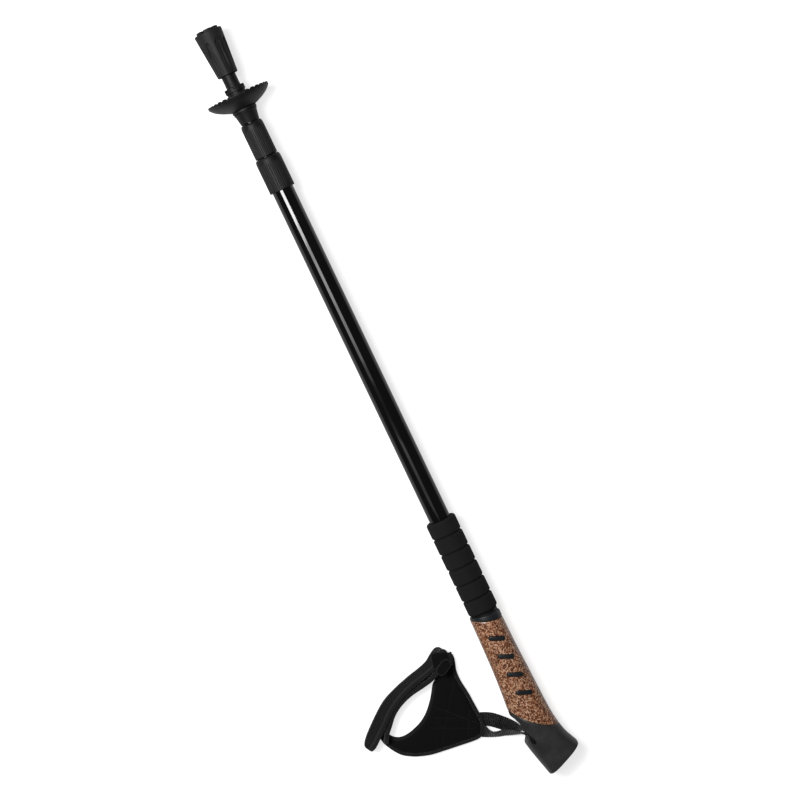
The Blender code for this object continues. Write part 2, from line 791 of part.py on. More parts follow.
# Sleeves, tubes and locks
def make_sleeve(name, radius, start, end, passing, held):
    """A sleeve pressed on the tube it ends, with a lip that the next tube slides through."""
    lip_bore = passing + SLIDE_GAP
    seat_bore = held + FIT_GAP
    seat = start + SLEEVE_LIP - FIT_GAP
    profile = (
        (radius - FIT_GAP, end),
        (radius, end - FIT_GAP),
        (radius, start + SLEEVE_SHOULDER),
        (radius - SLEEVE_SHOULDER_DROP / 4, start + SLEEVE_SHOULDER / 2),
        (radius - SLEEVE_SHOULDER_DROP, start),
        (lip_bore, start),
        (lip_bore, seat),
        (seat_bore, seat),
        (seat_bore, end),
    )
    turned(name, profile, pole, plastic, at=start)


def make_lock(prefix, tube_radius, tube_bore, tube_end, outer_bore):
    """A plug in the inner tube's end, a stud, a split expander that grips the outer tube, and a cone nut."""
    stud = STUD_DIAMETER / 2
    stud_bore = stud + FIT_GAP
    flange_end = tube_end + FIT_GAP + PLUG_FLANGE
    plug = (
        (tube_radius - FIT_GAP, flange_end),
        (tube_radius - FIT_GAP, tube_end + FIT_GAP),
        (tube_bore - FIT_GAP, tube_end + FIT_GAP),
        (tube_bore - FIT_GAP, tube_end - PLUG_LENGTH),
        (stud_bore, tube_end - PLUG_LENGTH),
        (stud_bore, flange_end),
    )
    turned(prefix + "_plug", plug, pole, plastic, at=tube_end, steps=SMALL_STEPS)

    stud_end = tube_end + STUD_REACH
    head = (
        (0.0, stud_end),
        (STUD_HEAD_DIAMETER / 2, stud_end),
        (STUD_HEAD_DIAMETER / 2, stud_end - STUD_HEAD),
        (stud, stud_end - STUD_HEAD),
        (stud, tube_end - STUD_DEPTH),
        (0.0, tube_end - STUD_DEPTH),
    )
    turned(prefix + "_stud", head, pole, steel, at=tube_end, steps=SMALL_STEPS)

    start = flange_end + FIT_GAP
    end = start + EXPANDER_LENGTH
    grip_radius = outer_bore - LOCK_GAP
    mouth = grip_radius - EXPANDER_WALL
    throat = mouth - TAPER_SLOPE * TAPER_LENGTH
    third = EXPANDER_LENGTH / 3
    expander = (
        (grip_radius, end),
        (grip_radius, end - third),
        (grip_radius - EXPANDER_WAIST, end - third),
        (grip_radius - EXPANDER_WAIST, start + third),
        (grip_radius, start + third),
        (grip_radius, start),
        (stud_bore, start),
        (stud_bore, end - TAPER_LENGTH),
        (throat, end - TAPER_LENGTH),
        (mouth, end),
    )
    sleeve = turned(prefix + "_expander", expander, pole, plastic, at=start, steps=SMALL_STEPS)
    split = box_mesh(
        prefix + "_split_cutter",
        (EXPANDER_SPLIT, 2 * outer_bore, 2 * EXPANDER_LENGTH),
        (0, outer_bore, start + EXPANDER_LENGTH / 2),
    )
    boolean(sleeve, add(prefix + "_split_cutter", split, pole))

    clearance = TAPER_SLOPE * THREAD_PITCH * LOCK_TURNS + FIT_GAP / 3
    inner_end = end - CONE_NUT_INSIDE
    wide = mouth - clearance
    cone = (
        (wide, inner_end + CONE_NUT_LENGTH),
        (wide, end),
        (wide - TAPER_SLOPE * CONE_NUT_INSIDE, inner_end),
        (stud_bore, inner_end),
        (stud_bore, inner_end + CONE_NUT_LENGTH),
    )
    turned(prefix + "_cone_nut", cone, pole, brass, at=end, steps=SMALL_STEPS)


def make_sections():
    tube("upper_tube", UPPER_TUBE_RADIUS, TUBE_WALL, UPPER_TUBE_START, UPPER_TUBE_END, pole, black_paint)
    tube("middle_tube", MIDDLE_TUBE_RADIUS, TUBE_WALL, MIDDLE_TUBE_START, MIDDLE_TUBE_END, pole, black_paint)
    tube("lower_tube", LOWER_TUBE_RADIUS, TUBE_WALL, LOWER_TUBE_START, LOWER_TUBE_END, pole, black_paint)
    make_sleeve(
        "lower_sleeve",
        LOWER_SLEEVE_DIAMETER / 2,
        LOWER_SLEEVE_START,
        LOWER_SLEEVE_END,
        LOWER_TUBE_RADIUS,
        MIDDLE_TUBE_RADIUS,
    )
    make_sleeve(
        "upper_sleeve",
        UPPER_SLEEVE_DIAMETER / 2,
        UPPER_SLEEVE_START,
        UPPER_SLEEVE_END,
        MIDDLE_TUBE_RADIUS,
        UPPER_TUBE_RADIUS,
    )
    make_lock("middle", MIDDLE_TUBE_RADIUS, MIDDLE_BORE, MIDDLE_TUBE_END, UPPER_BORE)
    make_lock("lower", LOWER_TUBE_RADIUS, LOWER_BORE, LOWER_TUBE_END, MIDDLE_BORE)


# Grip
def make_foam():
    land = FOAM_DIAMETER / 2
    grooves = [FOAM_START + FOAM_FIRST_LAND + FOAM_LAND_PITCH * index for index in range(FOAM_LANDS - 1)]
    ends = [FOAM_START, *grooves, FOAM_END]
    bore = UPPER_TUBE_RADIUS + FIT_GAP
    profile = []
    for low, high in reversed(list(zip(ends, ends[1:]))):
        profile.append((land - FOAM_GROOVE_DEPTH, high))
        profile.append((land, high - FOAM_GROOVE_WIDTH / 2))
        profile.append((land, low + FOAM_GROOVE_WIDTH / 2))
    profile.append((land - FOAM_GROOVE_DEPTH, FOAM_START))
    profile.append((bore, FOAM_START))
    profile.append((bore, FOAM_END))
    turned("foam_grip", profile, pole, foam, at=FOAM_START)


def make_grip():
    tube_clear = UPPER_TUBE_RADIUS + FIT_GAP
    core_radius = tube_clear + CORE_WALL
    core_top = GRIP_START + TUBE_IN_GRIP + FIT_GAP + CORE_FLOOR
    spigot = CORE_SPIGOT_DIAMETER / 2
    outer = (
        (0.0, GRIP_START + CORE_SPIGOT_END),
        (spigot, GRIP_START + CORE_SPIGOT_END),
        (spigot, core_top),
        (core_radius, core_top),
        (core_radius, GRIP_START + CORE_START),
    )
    socket = (
        (tube_clear, GRIP_START + CORE_START),
        (tube_clear, GRIP_START + TUBE_IN_GRIP + FIT_GAP),
        (0.0, GRIP_START + TUBE_IN_GRIP + FIT_GAP),
    )
    turned("grip_core", (*outer, *socket), pole, plastic, at=GRIP_START + CORE_START)
    room = (
        (0.0, GRIP_START + CORE_SPIGOT_END + FIT_GAP),
        (spigot + FIT_GAP, GRIP_START + CORE_SPIGOT_END + FIT_GAP),
        (spigot + FIT_GAP, core_top + FIT_GAP),
        (core_radius + FIT_GAP, core_top + FIT_GAP),
        (core_radius + FIT_GAP, GRIP_START - CORE_START),
        (0.0, GRIP_START - CORE_START),
    )
    core_room = turned("core_room_cutter", room, pole)

    top, bottom = section(COLLAR_TOP, COLLAR_SQUARENESS), section(COLLAR_BOTTOM, COLLAR_SQUARENESS)
    collar = add("grip_collar", loft("grip_collar", (top, bottom)), grip, collar_rubber)
    tube_room = (
        (0.0, GRIP_START + CORE_START),
        (tube_clear, GRIP_START + CORE_START),
        (tube_clear, GRIP_START - CORE_START),
        (0.0, GRIP_START - CORE_START),
    )
    boolean(collar, turned("tube_room_cutter", tube_room, pole))

    rings = grip_rings()
    cork = add("cork_grip", loft("cork_grip", rings), grip, cork_finish)
    cap = add("top_cap", loft("top_cap", rings), grip, plastic)
    reach = 2 * CAP_HALF_THICKNESS
    cork_side = cylinder_mesh("cork_side", CORK_EDGE_RADIUS - FIT_GAP / 2, -reach, reach, CORK_EDGE_STEPS)
    cap_side = cylinder_mesh("cap_side", CORK_EDGE_RADIUS + FIT_GAP / 2, -reach, reach, CORK_EDGE_STEPS)
    place = (*CORK_EDGE_CENTRE, 0.0)
    boolean(cork, add("cork_side_cutter", cork_side, grip, location=place), "INTERSECT")
    boolean(cork, core_room)
    boolean(cap, add("cap_side_cutter", cap_side, grip, location=place))
    boolean(cap, core_room)
    make_inlays(cork, rings)
    make_slot(cap)


def make_inlays(cork, rings):
    """Rubber pads with round ends, let into both cheeks of the cork down to a curved floor."""
    core_radius = UPPER_TUBE_RADIUS + 2 * FIT_GAP + CORE_WALL
    floor = core_radius + INLAY_DEPTH
    reach = 2 * CAP_HALF_THICKNESS
    turn = (0, math.pi / 2, 0)
    pocket_floor = cylinder_mesh("pocket_floor_cutter", floor, 0, CORE_SPIGOT_END, 64)
    pad_floor = cylinder_mesh("pad_floor_cutter", floor + FIT_GAP, 0, CORE_SPIGOT_END, 64)
    pocket_floor = add("pocket_floor_cutter", pocket_floor, grip, rotation=turn)
    pad_floor = add("pad_floor_cutter", pad_floor, grip, rotation=turn)
    cork_body = add("cork_body_cutter", loft("cork_body_cutter", rings), grip)
    for side, sign in (("front", 1), ("back", -1)):
        for index in range(INLAY_COUNT):
            place = (INLAY_FIRST[0] + index * INLAY_PITCH[0], INLAY_FIRST[1] + index * INLAY_PITCH[1], 0.0)
            name = f"{side}_inlay_{index + 1}"
            low, high = sorted((0.0, sign * reach))
            slant = (0, 0, math.pi / 2 - INLAY_SLANT)
            room = pill(INLAY_LENGTH + 2 * FIT_GAP, INLAY_WIDTH + 2 * FIT_GAP)
            pocket = plate(name + "_pocket_cutter", [room], low, high, grip, None, slant, place)
            boolean(pocket, pocket_floor)
            boolean(cork, pocket)
            outline = pill(INLAY_LENGTH, INLAY_WIDTH)
            pad = plate(name, [outline], low, high, grip, inlay_rubber, slant, place)
            boolean(pad, pad_floor)
            boolean(pad, cork_body, "INTERSECT")


def slot_edge(place, side):
    """A point beside the slot's middle line, on its upper (1) or lower (-1) edge."""
    along = (Vector(SLOT_END) - Vector(SLOT_MOUTH)).normalized()
    return Vector(place) + Vector((-along.y, along.x)) * side * SLOT_HALF_WIDTH


def make_slot(cap):
    """The throat on the cap's strap side, the pocket behind it, and the pin that the webbing goes round."""
    reach = 2 * CAP_HALF_THICKNESS
    along = (Vector(SLOT_END) - Vector(SLOT_MOUTH)).normalized()
    nose = Vector(SLOT_END) + along * SLOT_HALF_WIDTH * 0.7
    slot = (
        slot_edge(SLOT_MOUTH, 1),
        slot_edge(SLOT_END, 1),
        nose,
        slot_edge(SLOT_END, -1),
        slot_edge(SLOT_MOUTH, -1),
    )
    boolean(cap, plate("throat_cutter", [(*THROAT_SIDE, *slot, *LIP_SIDE)], -reach, reach, grip))
    half = WEBBING_WIDTH / 2 + POCKET_MARGIN
    pin = Vector(PIN_CENTRE)
    arc = []
    for step in range(CHAMBER_STEPS + 1):
        angle = BIGHT_TURN * (2 * step / CHAMBER_STEPS - 1)
        arc.append(pin + CHAMBER_RADIUS * Vector((math.cos(angle), math.sin(angle))))
    back = Vector(SLOT_END) - along * SLOT_HALF_WIDTH * 0.5
    pocket = [slot_edge(back, -1), *arc, slot_edge(back, 1)]
    boolean(cap, plate("pocket_cutter", [pocket], -half, half, grip))
    hole = cylinder_mesh("pin_hole_cutter", PIN_DIAMETER / 2 + FIT_GAP, -reach, PIN_TOP + FIT_GAP)
    boolean(cap, add("pin_hole_cutter", hole, grip, location=(*PIN_CENTRE, 0.0)))
    pin_mesh = cylinder_mesh("strap_pin", PIN_DIAMETER / 2, FIT_GAP - CAP_HALF_THICKNESS, PIN_TOP)
    add("strap_pin", pin_mesh, grip, steel, location=(*PIN_CENTRE, 0.0))


# Hand strap
def make_webbing():
    """One length of webbing that twists on edge, goes round the pin and comes back on edge."""
    along = (Vector(SLOT_END) - Vector(SLOT_MOUTH)).normalized()
    beside = Vector((-along.y, along.x)) * LAYER_OFFSET
    route = [(*place[:2], place[2] * PIN_HEIGHT, place[3]) for place in WEBBING_OUT]
    route.extend((*(Vector(place) + beside), PIN_HEIGHT, 0) for place in (SLOT_MOUTH, SLOT_END))
    for step in range(BIGHT_STEPS + 1):
        angle = BIGHT_TURN * (1 - 2 * step / BIGHT_STEPS)
        route.append(
            (
                PIN_CENTRE[0] + BIGHT_RADIUS * math.cos(angle),
                PIN_CENTRE[1] + BIGHT_RADIUS * math.sin(angle),
                PIN_HEIGHT,
                0,
            )
        )
    route.extend((*(Vector(place) - beside), PIN_HEIGHT, 0) for place in (SLOT_END, SLOT_MOUTH))
    route.extend((*place[:2], place[2] * PIN_HEIGHT, place[3]) for place in WEBBING_BACK)

    rails = ([], [])
    line = in_strap([place[:3] for place in route])
    for index, (middle, place) in enumerate(zip(line, route)):
        run = line[min(index + 1, len(line) - 1)] - line[max(index - 1, 0)]
        flat = Vector((run.y, -run.x, 0.0)).normalized()
        twist = math.radians(place[3])
        edge = (flat * math.sin(twist) - Vector((0, 0, math.cos(twist)))) * WEBBING_WIDTH / 2
        rails[0].append(middle - edge)
        rails[1].append(middle + edge)
    first, second = (smooth_line(rail, 3) for rail in rails)
    ribbon("strap_webbing", first, second, WEBBING_THICKNESS, strap, webbing)


def in_strap(points):
    """Places on the grip's grid, moved to the strap's own frame."""
    centre = Vector((*SWING_CENTRE, 0.0))
    return [Vector((*point, 0.0) if len(point) == 2 else point) - centre for point in points]


def make_patch():
    outline = [Vector(point[:2]) for point in smooth_line(in_strap(PATCH_OUTLINE), 3, closed=True)]
    inner = inset(outline, BINDING_WIDTH)
    patch = inset(outline, BINDING_WIDTH + FIT_GAP)
    plate("palm_patch", [patch], PATCH_LIFT, PATCH_LIFT + PATCH_THICKNESS, strap, fabric)
    plate("patch_binding", [outline, inner], PATCH_LIFT, PATCH_LIFT + BINDING_THICKNESS, strap, binding)

    # The webbing's end, doubled and sewn flat under the patch
    size = (ANCHOR_LENGTH, WEBBING_WIDTH + ANCHOR_MARGIN, ANCHOR_THICKNESS)
    anchor = box_mesh("webbing_anchor", size, (0, 0, ANCHOR_THICKNESS / 2))
    add("webbing_anchor", anchor, strap, webbing, in_strap([ANCHOR_CENTRE])[0], (0, 0, ANCHOR_ANGLE))


def make_wrist_strap():
    lower = smooth_line(in_strap(WRIST_LOWER_EDGE), 3)
    upper = smooth_line(in_strap(WRIST_UPPER_EDGE), 3)
    ribbon("wrist_strap", lower, upper, STRAP_THICKNESS, strap, fabric)

    # The hook panel backs the free run, a little inside it
    first = len(lower) - 14
    apart = (STRAP_THICKNESS + HOOK_THICKNESS) / 2 + FIT_GAP
    foot_rail, top_rail = [], []
    for index in range(first, len(lower) - 3):
        up = upper[index] - lower[index]
        along = lower[index + 1] - lower[index - 1]
        side = along.cross(up).normalized()
        start = lower[index] + up * 0.18 - side * apart
        foot_rail.append(start)
        top_rail.append(start + up.normalized() * HOOK_HEIGHT)
    ribbon("hook_panel", foot_rail, top_rail, HOOK_THICKNESS, strap, binding)


def make_keeper():
    """A loop sewn to the patch's corner that passes over the fold, and a rounded tab that lies on it."""
    over = in_strap(KEEPER_PATH)
    half = Vector((KEEPER_HALF_WIDTH, -KEEPER_HALF_WIDTH * 0.3, 0.0))
    line = smooth_line(over, 3)
    ribbon(
        "strap_keeper",
        [point - half for point in line],
        [point + half for point in line],
        KEEPER_THICKNESS,
        strap,
        fabric,
    )
    centre = in_strap([TAB_CENTRE])[0]
    outline = pill(TAB_LENGTH, TAB_WIDTH)
    top = TAB_HEIGHT + TAB_THICKNESS
    plate("closure_tab", [outline], TAB_HEIGHT, top, strap, binding, (0, 0, TAB_ANGLE), centre)


def settle():
    """Moves the whole pole so that the middle of its lowest face is the origin."""
    bpy.context.view_layer.update()
    graph = bpy.context.evaluated_depsgraph_get()
    corners = []
    for obj in parts.objects:
        if obj.type == "MESH":
            shown = obj.evaluated_get(graph)
            mesh = shown.to_mesh()
            corners.extend(shown.matrix_world @ vertex.co for vertex in mesh.vertices)
            shown.to_mesh_clear()
    low = Vector([min(corner[axis] for corner in corners) for axis in range(3)])
    high = Vector([max(corner[axis] for corner in corners) for axis in range(3)])
    root.location = (-(low.x + high.x) / 2, -(low.y + high.y) / 2, -low.z)
    bpy.context.view_layer.update()


def report():
    """Prints the joint axes, pivots and mount points in world coordinates."""
    along = pole.matrix_world.to_3x3() @ Vector((0, 0, 1))
    print("axis along the pole", [round(value, 6) for value in along])
    print("point on the axis", [round(value, 5) for value in pole.matrix_world.translation])
    print("strap hinge", [round(value, 5) for value in strap.matrix_world.translation])
    low, high = Vector((*CAP_END[0], 0.0)), Vector((*CAP_END[1], 0.0))
    across = (high - low).normalized()
    print("cap end centre", [round(value, 6) for value in grip.matrix_world @ ((low + high) / 2)])
    normal = grip.matrix_world.to_3x3() @ Vector((across.y, -across.x, 0))
    print("cap end normal", [round(value, 6) for value in normal])
    sole = pole.matrix_world @ Vector((0, 0, -SOLE_LUG_HEIGHT))
    print("sole centre", [round(value, 6) for value in sole])


clear_scene()
parts = new_collection("telescopic_walking_pole")
cutters = new_collection("cutters", hidden=True)

rubber = material("rubber", (0.012, 0.012, 0.013), 0.75)
plastic = material("plastic", (0.018, 0.018, 0.019), 0.45)
black_paint = material("black_paint", (0.004, 0.004, 0.005), 0.15)
steel = material("steel", (0.45, 0.45, 0.46), 0.35, 1.0)
brass = material("brass", (0.60, 0.42, 0.16), 0.35, 1.0)
foam = material("foam", (0.010, 0.010, 0.010), 0.90)
collar_rubber = material("collar_rubber", (0.020, 0.023, 0.026), 0.60)
inlay_rubber = material("inlay_rubber", (0.018, 0.021, 0.024), 0.65)
cork_finish = material("cork", (0.23, 0.088, 0.040), 0.60)
webbing = material("webbing", (0.010, 0.010, 0.011), 0.85)
fabric = material("fabric", (0.009, 0.009, 0.009), 0.90)
binding = material("binding", (0.016, 0.016, 0.017), 0.80)

root = empty("walking_pole", None)
pole = empty("pole_axis", root, (0, 0, AXIS_HEIGHT), (0, math.pi / 2 + TILT, 0))
grip_place = (GRIP_START * math.cos(TILT), 0, AXIS_HEIGHT - GRIP_START * math.sin(TILT))
grip = empty("grip_frame", root, grip_place, (0, TILT, 0))
strap = empty("strap_hinge", root, (grip_place[0] + SWING_CENTRE[0], SWING_CENTRE[1], 0))

make_foot()
make_tip_holder()
make_basket()
make_sections()
make_foam()
make_grip()
make_webbing()
make_patch()
make_wrist_strap()
make_keeper()
settle()
report()
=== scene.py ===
"""Telescopic walking pole, collapsed and lying flat: its looks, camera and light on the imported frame.

Stations are distances in metres from the rubber foot's rim along the pole. Places on the grip and the strap
are (along, across) pairs counted from the start of the grip's collar, as in the part's source.
"""

import json
import random
from math import atan2, copysign, cos, exp, pi, radians, sin, sqrt, tau

import bmesh
import bpy
from mathutils import Matrix, Vector, noise
from mathutils.bvhtree import BVHTree

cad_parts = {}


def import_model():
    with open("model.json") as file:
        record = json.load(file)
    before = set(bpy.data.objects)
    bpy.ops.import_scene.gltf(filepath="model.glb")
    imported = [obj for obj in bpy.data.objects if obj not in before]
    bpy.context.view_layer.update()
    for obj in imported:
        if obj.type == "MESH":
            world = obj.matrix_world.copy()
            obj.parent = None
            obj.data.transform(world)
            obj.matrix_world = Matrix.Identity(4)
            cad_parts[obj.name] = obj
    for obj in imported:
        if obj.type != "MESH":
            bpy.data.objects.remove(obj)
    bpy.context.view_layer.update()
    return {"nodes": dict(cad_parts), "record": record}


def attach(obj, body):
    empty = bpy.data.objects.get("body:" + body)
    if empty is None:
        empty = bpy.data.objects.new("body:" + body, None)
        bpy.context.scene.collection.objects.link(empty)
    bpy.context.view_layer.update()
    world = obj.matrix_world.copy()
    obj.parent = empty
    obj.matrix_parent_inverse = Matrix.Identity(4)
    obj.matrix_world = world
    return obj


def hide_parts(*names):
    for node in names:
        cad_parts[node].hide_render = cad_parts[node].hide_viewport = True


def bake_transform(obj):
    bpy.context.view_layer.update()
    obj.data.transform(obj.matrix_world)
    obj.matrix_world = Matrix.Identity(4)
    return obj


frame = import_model()
random.seed(11)

# The pole's own axes, from the record
mounts = {mount["name"]: mount for mount in frame["record"]["mounts"]}
SOLE_LUG_HEIGHT = 0.0021
AXIS = -Vector(mounts["foot_sole"]["axis"]).normalized()
SIDE = Vector((0.0, 1.0, 0.0))
UP = AXIS.cross(SIDE)
RIM = Vector(mounts["foot_sole"]["pos_m"]) + AXIS * SOLE_LUG_HEIGHT

GAP = 0.0003
EDGE_BREAK = 0.0003
ROUND_STEPS = 128


# Places and sizes from the frame
def at(station, side=0.0, up=0.0):
    return RIM + AXIS * station + SIDE * side + UP * up


def reach(node):
    """Where a turned CAD node starts and ends along the pole, and its greatest radius."""
    stations = []
    radii = []
    for vertex in frame["nodes"][node].data.vertices:
        place = vertex.co - RIM
        station = place.dot(AXIS)
        stations.append(station)
        radii.append((place - AXIS * station).length)
    return min(stations), max(stations), max(radii)


def least_radius(node):
    """The radius of a turned CAD node's narrowest bore."""
    radii = []
    for vertex in frame["nodes"][node].data.vertices:
        place = vertex.co - RIM
        radii.append((place - AXIS * place.dot(AXIS)).length)
    return min(radii)


GRIP_START = reach("foam_grip")[1] + GAP


def on_grip(along, across, height=0.0):
    """A place on the grip's own grid, whose height is measured square to the pole."""
    return at(GRIP_START + along, across, height)


def on_floor(along, across, height=0.0):
    """A place on the strap's grid, whose height is measured from the floor."""
    start = at(GRIP_START)
    return Vector((start.x + along, start.y + across, height))


# Materials
def new_material(name):
    made = bpy.data.materials.new(name)
    made.use_nodes = True
    return made, made.node_tree, made.node_tree.nodes["Principled BSDF"]


def feed(tree, made, inputs):
    """Sets a node's inputs, each given as a value or as the socket that it comes from."""
    for key, value in inputs.items():
        if isinstance(value, bpy.types.NodeSocket):
            tree.links.new(value, made.inputs[key])
        else:
            made.inputs[key].default_value = value


def node(tree, kind, inputs=None, **settings):
    """A node with its settings and its inputs."""
    made = tree.nodes.new(kind)
    for key, value in settings.items():
        setattr(made, key, value)
    feed(tree, made, inputs or {})
    return made


def ramp(tree, source, stops):
    """A colour ramp of (place, colour) stops."""
    made = node(tree, "ShaderNodeValToRGB", {"Fac": source})
    while len(made.color_ramp.elements) < len(stops):
        made.color_ramp.elements.new(1.0)
    for element, (place, colour) in zip(made.color_ramp.elements, stops):
        element.position = place
        element.color = (*colour, 1.0)
    return made.outputs["Color"]


def object_place(tree):
    return node(tree, "ShaderNodeTexCoord").outputs["Object"]


def noise_of(tree, scale, detail=3.0, roughness=0.5, vector=None):
    inputs = {"Vector": vector or object_place(tree), "Scale": scale}
    inputs |= {"Detail": detail, "Roughness": roughness}
    return node(tree, "ShaderNodeTexNoise", inputs).outputs["Fac"]


def between(tree, source, low, high):
    """The source's middle half mapped onto a range."""
    inputs = {"Value": source, "From Min": 0.25, "From Max": 0.75, "To Min": low, "To Max": high}
    return node(tree, "ShaderNodeMapRange", inputs).outputs["Result"]


def reckon(tree, operation, first, second):
    return node(tree, "ShaderNodeMath", {0: first, 1: second}, operation=operation).outputs["Value"]


def bump(tree, height, strength, distance):
    inputs = {"Height": height, "Strength": strength, "Distance": distance}
    return node(tree, "ShaderNodeBump", inputs).outputs["Normal"]


def surface(name, colours, roughness, height, strength, depth, patch, ends=(0.35, 0.65), more=None):
    """Patches between two colours, with a roughness range. height gives what the bumps follow."""
    made, tree, shader = new_material(name)
    patches = noise_of(tree, *patch)
    inputs = {
        "Base Color": ramp(tree, patches, tuple(zip(ends, colours))),
        "Roughness": between(tree, patches, *roughness),
        "Normal": bump(tree, height(tree), strength, depth),
    }
    feed(tree, shader, inputs | (more or {}))
    return made


def shade(name, colours, roughness, grain, patch=90.0, depth=0.00006, strength=0.5, more=None):
    """A moulded or coated surface with a fine grain."""

    def grained(tree):
        return noise_of(tree, grain, 4.0, 0.6)

    return surface(name, colours, roughness, grained, strength, depth, (patch, 5.0, 0.6), more=more)


def cloth(name, colours, pitch, depth, sheen, roughness=(0.82, 0.95), gloss=0.18):
    """A woven cloth of threads crossed at a pitch."""

    def woven(tree):
        inputs = {"Vector": object_place(tree), "Rotation": (0.35, 0.5, 0.8)}
        inputs = {"Vector": node(tree, "ShaderNodeMapping", inputs).outputs["Vector"]}
        inputs |= {"Scale": 1.0 / pitch / 3.1, "Distortion": 0.8}
        waves = [node(tree, "ShaderNodeTexWave", inputs, bands_direction=axis) for axis in "XYZ"]
        across, along, up = (wave.outputs["Fac"] for wave in waves)
        return reckon(tree, "ADD", reckon(tree, "MULTIPLY", across, along), up)

    more = {"Sheen Weight": sheen, "Sheen Roughness": 0.45, "Specular IOR Level": gloss}
    return surface(name, colours, roughness, woven, 0.7, depth, (140, 5.0, 0.65), (0.3, 0.7), more)


def foam(name, colours, roughness):
    """Closed-cell foam: matte, with fine pores."""

    def porous(tree):
        inputs = {"Vector": object_place(tree), "Scale": 2600}
        return node(tree, "ShaderNodeTexVoronoi", inputs).outputs["Distance"]

    more = {"Specular IOR Level": 0.3}
    return surface(name, colours, roughness, porous, 0.6, 0.00012, (260, 4.0, 0.6), (0.3, 0.7), more)


CORK_COLOURS = (
    (0.00, (0.040, 0.010, 0.004)),
    (0.20, (0.100, 0.027, 0.009)),
    (0.42, (0.255, 0.074, 0.026)),
    (0.62, (0.390, 0.132, 0.054)),
    (0.80, (0.590, 0.250, 0.115)),
    (1.00, (0.900, 0.560, 0.360)),
)
CORK_RIMS = ((0.0, (0.30, 0.24, 0.21)), (0.13, (1.0, 1.0, 1.0)))
CORK_GRAINS = 1080.0


def cork_finish():
    """Ground cork in a binder: granules of several browns with dark edges and pale flecks."""
    made, tree, shader = new_material("agglomerated_cork")
    place = object_place(tree)
    warp = node(tree, "ShaderNodeTexNoise", {"Vector": place, "Scale": 900.0, "Detail": 2.0})
    inputs = {0: warp.outputs["Color"], 1: (0.0011, 0.0011, 0.0011)}
    push = node(tree, "ShaderNodeVectorMath", inputs, operation="MULTIPLY").outputs["Vector"]
    bent = node(tree, "ShaderNodeVectorMath", {0: place, 1: push}, operation="ADD").outputs["Vector"]
    inputs = {"Vector": bent, "Scale": CORK_GRAINS}
    grains = node(tree, "ShaderNodeTexVoronoi", inputs).outputs["Color"]
    edges = node(tree, "ShaderNodeTexVoronoi", inputs, feature="DISTANCE_TO_EDGE").outputs["Distance"]
    shades = node(tree, "ShaderNodeSeparateColor", {"Color": grains}).outputs["Red"]
    fibre = noise_of(tree, 2600.0, 3.0, 0.7, bent)
    inputs = {"Value": reckon(tree, "ADD", shades, fibre), "From Min": 0.46, "From Max": 1.30}
    level = node(tree, "ShaderNodeMapRange", inputs).outputs["Result"]
    inputs = {"Factor": 1.0, "A": ramp(tree, level, CORK_COLOURS), "B": ramp(tree, edges, CORK_RIMS)}
    mixed = node(tree, "ShaderNodeMix", inputs, data_type="RGBA", blend_type="MULTIPLY")
    inputs = {
        "Base Color": mixed.outputs["Result"],
        "Roughness": between(tree, fibre, 0.26, 0.46),
        "Normal": bump(tree, edges, 0.30, 0.00020),
        "Sheen Weight": 0.16,
        "Sheen Roughness": 0.22,
        "Coat Weight": 0.45,
        "Coat Roughness": 0.16,
    }
    feed(tree, shader, inputs)
    return made


DULL = {"Specular IOR Level": 0.28}
METAL = {"Metallic": 1.0}
GLOSS_COLOURS = (0.0013, 0.0013, 0.0016), (0.0026, 0.0026, 0.0030)
PLASTIC_COLOURS = (0.0042, 0.0042, 0.0046), (0.0080, 0.0080, 0.0086)
CAP_COLOURS = (0.0300, 0.0300, 0.0315), (0.0430, 0.0430, 0.0450)
RUBBER_COLOURS = (0.0085, 0.0085, 0.0090), (0.0150, 0.0150, 0.0160)
SLATE_COLOURS = (0.008, 0.011, 0.014), (0.016, 0.020, 0.024)
STEEL_COLOURS = (0.36, 0.36, 0.37), (0.52, 0.52, 0.53)
FOAM_COLOURS = (0.0060, 0.0060, 0.0064), (0.0105, 0.0104, 0.0106)
BRASS_COLOURS = (0.48, 0.32, 0.11), (0.66, 0.47, 0.19)
WEBBING_COLOURS = (0.0026, 0.0026, 0.0028), (0.0060, 0.0060, 0.0064)
FABRIC_COLOURS = (0.0020, 0.0020, 0.0022), (0.0046, 0.0044, 0.0046)
TAPE_COLOURS = (0.0110, 0.0110, 0.0115), (0.0180, 0.0180, 0.0190)
HOOK_COLOURS = (0.0040, 0.0040, 0.0042), (0.0160, 0.0160, 0.0165)

finishes = {
    "gloss_black": shade("gloss_black_paint", GLOSS_COLOURS, (0.02, 0.05), 2500, 40, 0.00002, 0.2),
    "black_plastic": shade("satin_plastic", PLASTIC_COLOURS, (0.42, 0.56), 5200, more=DULL),
    "steel": shade("turned_steel", STEEL_COLOURS, (0.24, 0.38), 3000, 120, more=METAL),
    "brass": shade("turned_brass", BRASS_COLOURS, (0.24, 0.36), 3000, 120, more=METAL),
    "black_rubber": shade("moulded_rubber", RUBBER_COLOURS, (0.50, 0.64), 3800, more=DULL),
    "slate_rubber": shade("slate_rubber", SLATE_COLOURS, (0.36, 0.50), 4200),
    "foam": foam("closed_cell_foam", FOAM_COLOURS, (0.80, 0.95)),
    "cork": cork_finish(),
    "webbing": cloth("woven_webbing", WEBBING_COLOURS, 0.0006, 0.00012, 0.16, (0.34, 0.48), 0.5),
    "padded_fabric": cloth("padded_cloth", FABRIC_COLOURS, 0.0005, 0.00010, 0.07),
    "binding": cloth("binding_tape", TAPE_COLOURS, 0.0004, 0.00008, 0.18),
}
cap_plastic = shade("cap_plastic", CAP_COLOURS, (0.26, 0.40), 5200)
hook_tape = shade("hook_tape", HOOK_COLOURS, (0.50, 0.70), 1500, 900, 0.0003, 1.0)


